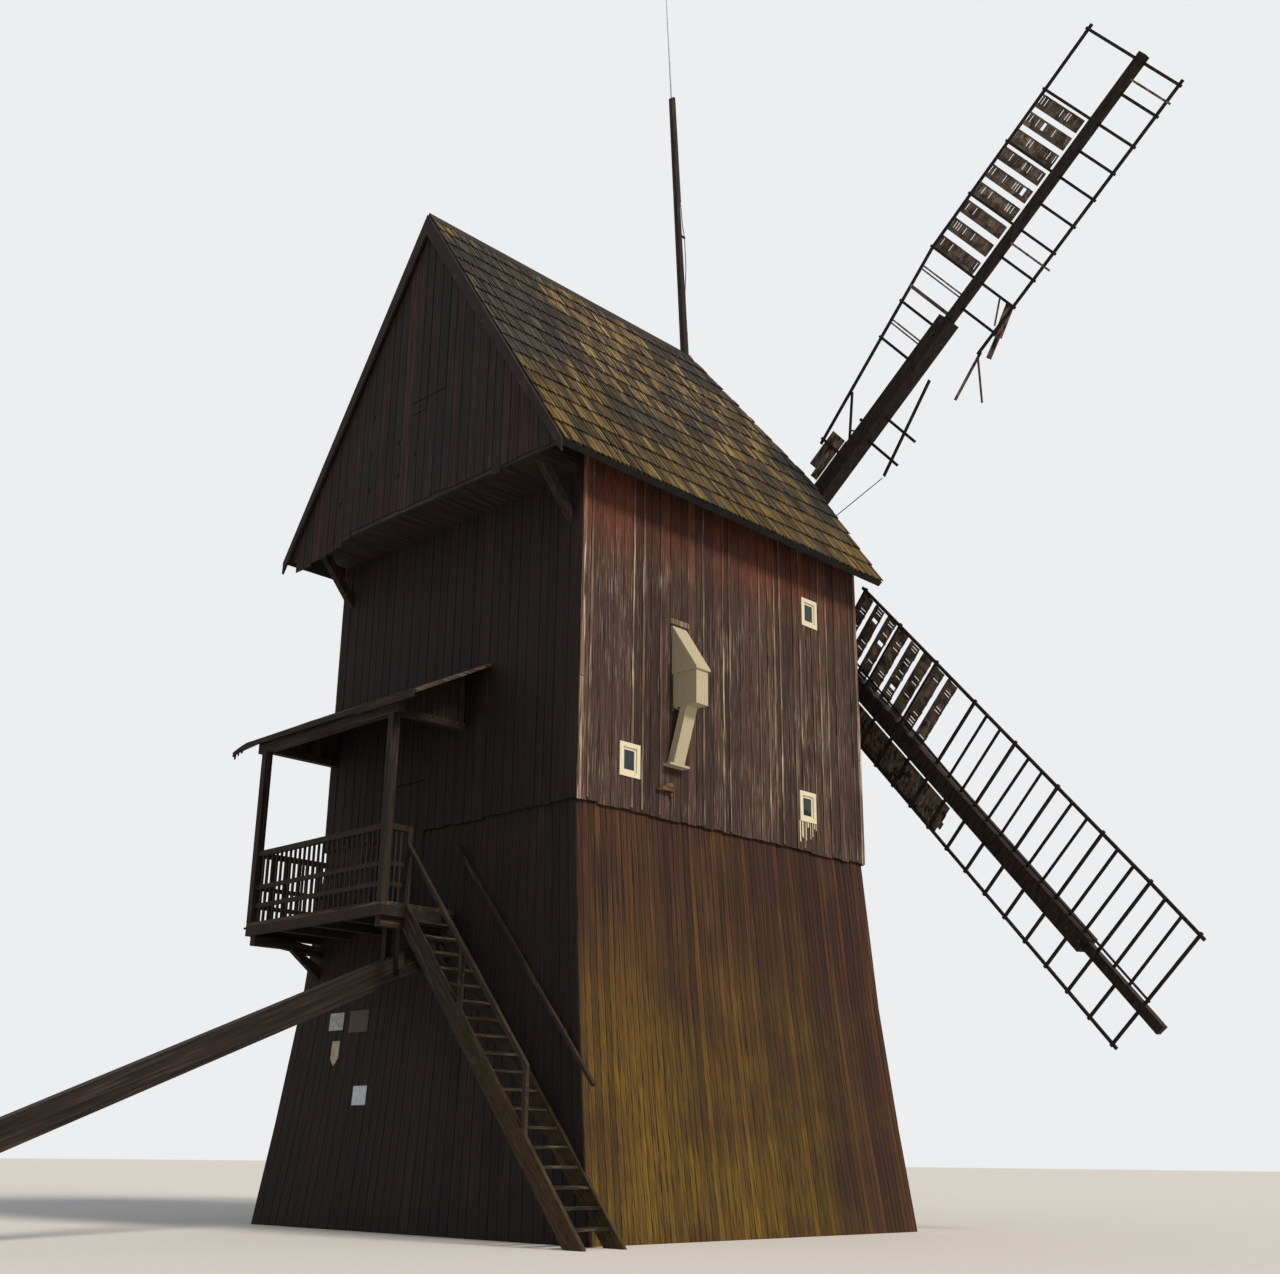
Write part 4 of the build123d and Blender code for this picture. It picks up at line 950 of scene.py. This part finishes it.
class WINDMILL_OT_sashes(bpy.types.Operator):
    """Set a painted sash inside each window frame, and let the paint run down under one"""

    bl_idname = "windmill.sashes"
    bl_label = "Sashes"

    def execute(self, context):
        width, height = WINDOW_SIZE
        inset = WINDOW_CASING - SASH_OVERLAP
        unit = unit_board(0.06)
        parts = []
        for sign in (-1, 1):
            rows = []
            for y, z in WINDOW_STARTS:
                near, far = y + inset, y + width - inset
                low, high = z + inset, z + height - inset
                for left, right, foot, head in (
                        (near, near + SASH_RAIL, low, high), (far - SASH_RAIL, far, low, high),
                        (near + SASH_RAIL, far - SASH_RAIL, low, low + SASH_RAIL),
                        (near + SASH_RAIL, far - SASH_RAIL, high - SASH_RAIL, high)):
                    rows.append((left, right, foot, head, 0.0, 0.012, 0.5))
            parts.append(laid("window_sashes", unit, rows, side_face(sign)))
        finished(joined("window_sashes", parts), "casing")
        draw = random.Random(17)
        y, z = WINDOW_STARTS[1]
        rows = []
        for number in range(PAINT_RUNS):
            start = y - 0.03 + (width + 0.05) * number / PAINT_RUNS + draw.uniform(0, 0.03)
            rows.append((start, start + draw.uniform(0.008, 0.028), z - draw.uniform(0.06, 0.32),
                         z + 0.002, 0.012, 0.022, draw.random()))
        finished(laid("paint_runs", unit, rows, side_face(1)), "casing")
        return {"FINISHED"}


class WINDMILL_OT_chute_boards(bpy.types.Operator):
    """Put the bare boards on, above and under the feed chute"""

    bl_idname = "windmill.chute_boards"
    bl_label = "Chute boards"

    def execute(self, context):
        draw = random.Random(18)
        unit = unit_board(0.05)
        face = side_face(1)
        rows = [
            (-1.290, -1.262, 6.600, 6.700, 0.014, 0.045, draw.random()),
            (-1.322, -1.292, 5.400, 5.600, 0.014, 0.055, draw.random()),
        ]
        boards = laid("chute_boards", unit, rows, face)
        bracket = laid("chute_bracket", unit, [(-1.575, -1.294, 5.485, 5.600, 0.014, 0.085, 0.8)], face)
        sliced(bracket, (WALL_X, -1.575, 5.490), (0, -0.110, 0.215))
        finished(joined("chute_boards", [boards, bracket]), "bare")
        cap = laid("chute_cap", unit, [(-1.312, -0.944, 7.862, 7.938, 0.0, 0.045, 0.9)], face)
        finished(cap, "strip")
        return {"FINISHED"}


# Rear wall: each plate's left edge, foot, width, height and finish
PLATES = {
    "plate_upper_left": (-2.090, 2.535, 0.330, 0.235, "grey_plate"),
    "plate_upper_right": (-1.620, 2.490, 0.430, 0.290, "board_plate"),
    "plate_lower": (-1.345, 1.540, 0.300, 0.245, "enamel"),
    "plaque": (-1.965, 2.060, 0.180, 0.330, "plaque"),
}


class WINDMILL_OT_plates(bpy.types.Operator):
    """Make the bare plates on the rear wall, each in its own finish"""

    bl_idname = "windmill.plates"
    bl_label = "Plates"

    def execute(self, context):
        def face(across, up, out):
            return Vector((across, flare(SKIRT_REAR, up) - out, up))
        unit = unit_board(0.03)
        for name, (left, low, width, height, finish) in PLATES.items():
            plate = laid(name, unit, [(left, left + width, low, low + height, 0.010, 0.022, 0.5)], face)
            if name == "plaque":
                tip = (left + width / 2, flare(SKIRT_REAR, low), low)
                for sign in (-1, 1):
                    sliced(plate, tip, (sign * 0.3 * height, 0, -width / 2))
            finished(plate, finish, stands_for=("wall_plates",))
        return {"FINISHED"}


class WINDMILL_OT_door_boards(bpy.types.Operator):
    """Board the balcony door"""

    bl_idname = "windmill.door_boards"
    bl_label = "Door boards"

    def execute(self, context):
        draw = random.Random(19)
        edges = board_edges(*DOOR_ENDS, DOOR_PITCH, 0.12, draw)
        rows = board_rows(edges, *DOOR_HEIGHTS, 0.012, draw, (0.0, 0.0), PLANK_GAP, 0.002)
        piece = laid("door_boards", unit_board(), rows,
                     lambda across, up, out: Vector((across, DOOR_FACE - out, up)))
        finished(piece, "rear")
        return {"FINISHED"}


# Balcony


class WINDMILL_OT_balcony_planks(bpy.types.Operator):
    """Lay the balcony floor plank by plank and drive in the peg at its left end"""

    bl_idname = "windmill.balcony_planks"
    bl_label = "Balcony planks"

    def execute(self, context):
        draw = random.Random(20)
        edges = board_edges(*FLOOR_RUN, FLOOR_PITCH, 0.12, draw)
        rows = [(near + PLANK_GAP / 2, far - PLANK_GAP / 2, FLOOR_ENDS[0] - draw.uniform(0, 0.015),
                 FLOOR_ENDS[1] - draw.uniform(0, 0.012), 0.0, FLOOR_THICKNESS, draw.random())
                for near, far in pairwise(edges)]
        piece = laid("balcony_planks", unit_board(), rows,
                     lambda across, up, out: Vector((up, across, FLOOR_LEVEL + out)))
        finished(piece, "floor_plank", stands_for=("balcony_floor",))
        peg = wire("balcony_peg", [(-2.50, -4.200, 3.880), (-2.72, -4.200, 3.886)], 0.015)
        finished(peg, "upright")
        return {"FINISHED"}


class WINDMILL_OT_canopy_planks(bpy.types.Operator):
    """Lay the canopy from planks up its slope, with its drooping left corner"""

    bl_idname = "windmill.canopy_planks"
    bl_label = "Canopy planks"

    def execute(self, context):
        draw = random.Random(21)
        unit = unit_board(cuts=(0.2, 0.4, 0.6, 0.8))
        slope = math.dist(CANOPY_EAVE, CANOPY_WALL)

        def face(across, up, out):
            y = between(CANOPY_EAVE[0], CANOPY_WALL[0], up / slope)
            z = between(CANOPY_EAVE[1], CANOPY_WALL[1], up / slope)
            past = max(0.0, (DROOP_START - across) / (DROOP_START - CANOPY_ENDS[0]))
            return Vector((across, y, z + out - DROOP * past ** 1.5 * (1 - up / slope) ** 2))

        def edge(across, up, out):
            return face(up, 0.0, across) + Vector((0, -out, 0))

        edges = board_edges(*CANOPY_ENDS, CANOPY_PITCH, 0.15, draw)
        rows = board_rows(edges, 0.0, slope, CANOPY_THICKNESS, draw, (0.03, 0.02), 0.004, -0.008)
        piece = laid("canopy_planks", unit, rows, face)
        finished(piece, "plank", stands_for=("canopy_roof",))
        # Three boards along the eave, then the splinters that hang at its left end
        rows = [(-0.025, 0.045, -3.30, DROOP_START, -0.002, 0.020, 0.35),
                (-0.025, 0.045, DROOP_START, -0.25, -0.002, 0.020, 0.35),
                (-0.050, 0.060, -0.25, 1.0, -0.002, 0.020, 0.85)]
        for number in range(3):
            x = -3.28 + 0.09 * number
            rows.append((-0.022 - draw.uniform(0.03, 0.07), -0.020, x, x + draw.uniform(0.02, 0.045),
                         -0.006, 0.004, 0.2))
        finished(laid("canopy_edge", unit, rows, edge), "across")
        return {"FINISHED"}


# Mast: the wire's bends (y, z) and its clips (height, reach)
WIRE_BENDS = ((1.79, 17.62), (1.82, 17.50), (1.866, 17.098), (1.92, 16.87), (1.957, 16.258),
              (1.936, 15.709), (1.983, 14.914), (1.98, 14.50))
WIRE_CLIPS = ((14.90, 0.032), (16.87, 0.112))


class WINDMILL_OT_mast_fittings(bpy.types.Operator):
    """Nail the splice batten to the mast and clip the conductor wire along it"""

    bl_idname = "windmill.mast_fittings"
    bl_label = "Mast fittings"

    def execute(self, context):
        draw = random.Random(22)

        def face(across, up, out):
            """Across the mast, up it, and out from its front side."""
            share = (up - RIDGE_Z) / MAST_RISE
            y = MAST_FOOT_Y - (up - RIDGE_Z) * math.tan(MAST_LEAN) + between(*MAST_RADII, share)
            return Vector((across, y + out, up))

        rows = [(-0.024, 0.024, 17.57, 19.80, -0.006, 0.045, draw.random())]
        for height, reach in WIRE_CLIPS:
            rows.append((-0.018, 0.018, height - 0.015, height + 0.015, -0.02, reach, draw.random()))
        finished(laid("mast_battens", unit_board(0.1), rows, face), "upright")
        conductor = wire("conductor_wire", [(0, y, z) for y, z in WIRE_BENDS], WIRE_RADIUS)
        finished(conductor, "iron")
        return {"FINISHED"}


# Sails


def arm_place(quarter, weather=WEATHER):
    """Where an arm stands: x along it, y across it, z towards the mill."""
    back = Vector((0, -math.cos(SHAFT_TILT), -math.sin(SHAFT_TILT)))
    right = Vector((1, 0, 0))
    turned = Matrix((right, back.cross(right), back)).transposed().to_4x4()
    offset = STOCK_OFFSET if quarter % 2 == 0 else -STOCK_OFFSET
    turn = SAIL_TURN + math.radians(90 * quarter)
    return (Matrix.Translation(HUB) @ turned @ Matrix.Rotation(turn, 4, "Z")
            @ Matrix.Translation((0, 0, offset)) @ Matrix.Rotation(weather, 4, "X"))


def sail_face(quarter):
    """The plane of one sail as a surface: across it, along its arm, and towards the mill."""
    place = arm_place(quarter)
    return lambda across, up, out: place @ Vector((up, across, out))


def wide_at(arm, r):
    """Width of an arm's wide side at a distance from the hub."""
    root, full, full_from = arm["wide"]
    return between(root, full, min((r - arm["bars"][0]) / (full_from - arm["bars"][0]), 1.0))


class WINDMILL_OT_shutters(bpy.types.Operator):
    """Make each sail shutter from splints nailed to a rail"""

    bl_idname = "windmill.shutters"
    bl_label = "Shutters"

    def execute(self, context):
        sizes = context.scene.windmill_sizes
        draw = random.Random(16)
        unit = unit_board(0.08)
        parts = []
        for quarter, name in enumerate(("upper_right", "upper_left", "lower_left", "lower_right")):
            arm = ARM_ONE if quarter % 2 == 0 else ARM_TWO
            rows = []
            for low, high in pairwise(arm["bars"]):
                kept = 3 if arm["shutters"][0] <= low and high <= arm["shutters"][1] else 0
                if low == arm["shutters"][1] and quarter % 2:
                    kept = 2
                for number in range(kept):
                    r = low + SHUTTER_START + number * (high - low) / 3
                    far = min(r + SHUTTER_LENGTH, high - SHUTTER_START)
                    inner, outer = 0.15, wide_at(arm, r) - 0.03
                    rows.append((inner, outer, r, r + 0.075, 0.006, 0.022, 0.25 * draw.random()))
                    rows.append((inner, outer, far - 0.03, far, 0.006, 0.016, 0.4 * draw.random()))
                    joints = board_edges(inner, outer, sizes.splint_pitch, 0.25, draw)
                    for left, right in pairwise(joints):
                        if draw.random() > 0.01:
                            gap = draw.choice((0.003, 0.005, 0.014))
                            rows.append((left, right - gap, r + draw.uniform(0, 0.006),
                                         far + draw.uniform(-0.012, 0.004), -0.006, 0.006, draw.random()))
            parts.append(laid(f"shutter_splints_{name}", unit, rows, sail_face(quarter)))
        finished(joined("shutter_splints", parts), "slat", "rotor", ("shutters",))
        return {"FINISHED"}


class WINDMILL_OT_sail_laths(bpy.types.Operator):
    """Fit the thin rods, the inner laths and the boarded roots of the two whole sails"""

    bl_idname = "windmill.sail_laths"
    bl_label = "Sail laths"

    def execute(self, context):
        draw = random.Random(23)
        unit = unit_board(0.08)
        arm = ARM_TWO
        laths = []
        boards = []
        for quarter in (1, 3):
            face = sail_face(quarter)
            places = [((2.0, 0.30), (6.02, 0.18), 0.035, 0.019, 0.037),
                      ((6.02, 0.18), (9.9, 0.18), 0.035, 0.019, 0.037)]
            for low, high in pairwise(arm["bars"]):
                if low > arm["shutters"][1]:
                    for share in (1 / 3, 2 / 3):
                        r = between(low, high, share)
                        end = (r + draw.uniform(-0.02, 0.02), wide_at(arm, r) + 0.02)
                        places.append(((r, 0.10), end, draw.uniform(0.042, 0.050), 0.004, 0.028))
            laths.append(battens("sail_laths", unit, face, places, draw))
            edges = board_edges(-0.82, -0.26, 0.14, 0.12, draw)
            rows = [(left + 0.003, right - 0.003, 1.95 + draw.uniform(0, 0.1), 5.71 - draw.uniform(0, 0.15),
                     -0.037, -0.019, draw.random()) for left, right in pairwise(edges)]
            boards.append(laid("sail_boards", unit, rows, face))
        finished(joined("sail_laths", laths), "tar", "rotor")
        finished(joined("sail_boards", boards), "sail_board", "rotor")
        return {"FINISHED"}


# The torn sail's loose pieces: start and end along and across the arm, width, near and far side
TORN_PIECES = (
    ((10.06, -0.07), (10.06, -0.86), 0.034, 0.006, 0.030),
    ((7.10, -0.07), (7.10, -0.92), 0.034, 0.006, 0.030),
    ((5.62, 0.05), (5.62, 0.96), 0.060, 0.006, 0.034),
    ((6.33, -0.70), (5.80, -0.87), 0.150, -0.037, -0.019),
    ((5.80, -0.87), (5.45, -0.97), 0.090, -0.037, -0.020),
    ((5.46, -0.79), (4.60, -0.94), 0.050, -0.030, -0.012),
    ((5.36, -0.82), (4.84, -1.36), 0.035, -0.012, 0.004),
    ((6.33, -0.50), (5.92, -0.73), 0.030, 0.019, 0.034),
    ((3.19, 0.11), (3.10, 0.29), 0.030, 0.019, 0.036),
    ((6.00, 0.02), (6.00, 0.97), 0.028, 0.006, 0.030),
    ((5.945, 0.02), (5.945, 0.97), 0.026, 0.006, 0.030),
    ((5.00, 0.17), (5.00, 0.84), 0.028, 0.006, 0.030),
    ((4.945, 0.17), (4.945, 0.84), 0.026, 0.006, 0.030),
    ((1.93, 0.185), (2.90, 0.185), 0.120, -0.037, -0.019),
    ((2.05, 0.335), (2.90, 0.335), 0.145, -0.037, -0.020),
    ((2.20, 0.485), (2.90, 0.485), 0.145, -0.037, -0.019),
)
TIE_ENDS = ((-0.74, 2.84, 0.0), (-0.13, 0.55, 0.0))
# Bolts through the stocks: quarter, distance from the hub and place across the arm
BOLTS = ((0, 5.22, 0.0), (0, 5.46, 0.0), (0, 3.38, 0.15), (2, 5.22, 0.0), (2, 5.46, 0.0),
         (1, 8.36, 0.0), (1, 8.62, 0.0), (3, 8.36, 0.0), (3, 8.62, 0.0))


class WINDMILL_OT_torn_sail(bpy.types.Operator):
    """Hang the broken boards and laths on the upper right sail, with its tie wire"""

    bl_idname = "windmill.torn_sail"
    bl_label = "Torn sail"

    def execute(self, context):
        face = sail_face(0)
        pieces = battens("torn_laths", unit_board(0.08), face, TORN_PIECES, random.Random(24))
        finished(pieces, "sail_board", "rotor")
        tie = wire("sail_tie_wire", [face(*end) for end in TIE_ENDS], WIRE_RADIUS)
        finished(tie, "iron", "rotor")
        return {"FINISHED"}


class WINDMILL_OT_bolts(bpy.types.Operator):
    """Bolt the whips to the stocks"""

    bl_idname = "windmill.bolts"
    bl_label = "Bolts"

    def execute(self, context):
        places = []
        for quarter, r, across in BOLTS:
            for turn in (0, math.pi):
                places.append(arm_place(quarter, 0.0) @ Matrix.Translation((r, across, 0))
                              @ Matrix.Rotation(turn, 4, "X") @ Matrix.Translation((0, 0, STOCK_HALF))
                              @ Matrix.Scale(BOLT_SIZE, 4))
        finished(copied("sail_bolts", unit_bolt(), places), "iron", "rotor")
        return {"FINISHED"}


# Stage
CAMERA_PLACE = (15.951, -15.474, 0.947)
CAMERA_YAW = math.radians(44.32)
CAMERA_PITCH = math.radians(19.09)
CAMERA_ROLL = math.radians(0.60)
CAMERA_LENS = 42.13
FLOOR_RADIUS = 160
SUN_STRENGTH = 2.8
SUN_SIZE = math.radians(14)
SUN_FROM = Vector((1.0, 0.12, 0.85))
SKY_STRENGTH = 0.45


class WINDMILL_OT_stage(bpy.types.Operator):
    """Set up the pale floor, the soft light and the camera"""

    bl_idname = "windmill.stage"
    bl_label = "Stage"

    def execute(self, context):
        scene = context.scene
        scene.view_settings.view_transform = "Standard"
        deselect()
        bpy.ops.mesh.primitive_circle_add(vertices=96, radius=FLOOR_RADIUS, fill_type="NGON",
                                          location=(0, 0, -0.002))
        floor = settled()
        floor.name = "floor"
        material, tree = new_material("pale_floor")
        shader = node(tree, "BsdfPrincipled", {
            "Base Color": srgb("#dcdad6"), "Roughness": 0.95, "Specular IOR Level": 0.1})
        node(tree, "OutputMaterial", [shader])
        floor.data.materials.append(material)
        scene.world = bpy.data.worlds.new("pale_studio")
        scene.world.use_nodes = True
        tree = scene.world.node_tree
        tree.nodes.clear()
        rays = node(tree, "LightPath").node.outputs
        seen = node(tree, "Math", [rays["Is Camera Ray"], rays["Is Glossy Ray"]], operation="MAXIMUM")
        seen = node(tree, "Math", [seen, rays["Is Transmission Ray"]], operation="MAXIMUM")
        soft = node(tree, "Background", {"Color": srgb("#e9ecf2"), "Strength": SKY_STRENGTH})
        pale = node(tree, "Background", {"Color": srgb("#eceef0"), "Strength": 1.0})
        node(tree, "OutputWorld", [node(tree, "MixShader", [seen, soft, pale])])
        lamp = bpy.data.lights.new("key", "SUN")
        lamp.energy = SUN_STRENGTH
        lamp.angle = SUN_SIZE
        lamp.color = srgb("#fff3e2")[:3]
        key = added("key", lamp)
        key.rotation_euler = SUN_FROM.to_track_quat("Z", "Y").to_euler()
        forward = Vector((-math.sin(CAMERA_YAW) * math.cos(CAMERA_PITCH),
                          math.cos(CAMERA_YAW) * math.cos(CAMERA_PITCH), math.sin(CAMERA_PITCH)))
        right = Vector((math.cos(CAMERA_YAW), math.sin(CAMERA_YAW), 0))
        up = right.cross(forward)
        side = right * math.cos(CAMERA_ROLL) + up * math.sin(CAMERA_ROLL)
        head = up * math.cos(CAMERA_ROLL) - right * math.sin(CAMERA_ROLL)
        view = bpy.data.cameras.new("photo_view")
        view.lens = CAMERA_LENS
        view.sensor_width = 36.0
        view.clip_end = 1000
        scene.camera = added("photo_view", view)
        scene.camera.matrix_world = (Matrix.Translation(CAMERA_PLACE)
                                     @ Matrix((side, head, -forward)).transposed().to_4x4())
        return {"FINISHED"}


MAKERS = (
    WINDMILL_OT_stage,
    WINDMILL_OT_finishes,
    WINDMILL_OT_side_boards,
    WINDMILL_OT_end_boards,
    WINDMILL_OT_skirt_boards,
    WINDMILL_OT_gable_boards,
    WINDMILL_OT_shingles,
    WINDMILL_OT_sashes,
    WINDMILL_OT_chute_boards,
    WINDMILL_OT_plates,
    WINDMILL_OT_door_boards,
    WINDMILL_OT_balcony_planks,
    WINDMILL_OT_canopy_planks,
    WINDMILL_OT_mast_fittings,
    WINDMILL_OT_shutters,
    WINDMILL_OT_sail_laths,
    WINDMILL_OT_torn_sail,
    WINDMILL_OT_bolts,
)


class WINDMILL_PT_panel(bpy.types.Panel):
    """Sizes, colours and makers of the windmill's pieces"""

    bl_label = "Windmill"
    bl_idname = "WINDMILL_PT_panel"
    bl_space_type = "VIEW_3D"
    bl_region_type = "UI"
    bl_category = "Windmill"

    def draw(self, context):
        for group in (context.scene.windmill_sizes, context.scene.windmill_colours):
            for name in group.__annotations__:
                self.layout.prop(group, name)
        for operator in MAKERS:
            self.layout.operator(operator.bl_idname)


CLASSES = (WindmillSizes, WindmillColours, *MAKERS, WINDMILL_PT_panel)


def register():
    for made in CLASSES:
        bpy.utils.register_class(made)
    bpy.types.Scene.windmill_sizes = bpy.props.PointerProperty(type=WindmillSizes)
    bpy.types.Scene.windmill_colours = bpy.props.PointerProperty(type=WindmillColours)


def unregister():
    del bpy.types.Scene.windmill_colours
    del bpy.types.Scene.windmill_sizes
    for made in reversed(CLASSES):
        bpy.utils.unregister_class(made)


def main():
    register()
    for operator in MAKERS:
        group, name = operator.bl_idname.split(".")
        getattr(getattr(bpy.ops, group), name)()


if __name__ == "__main__":
    main()
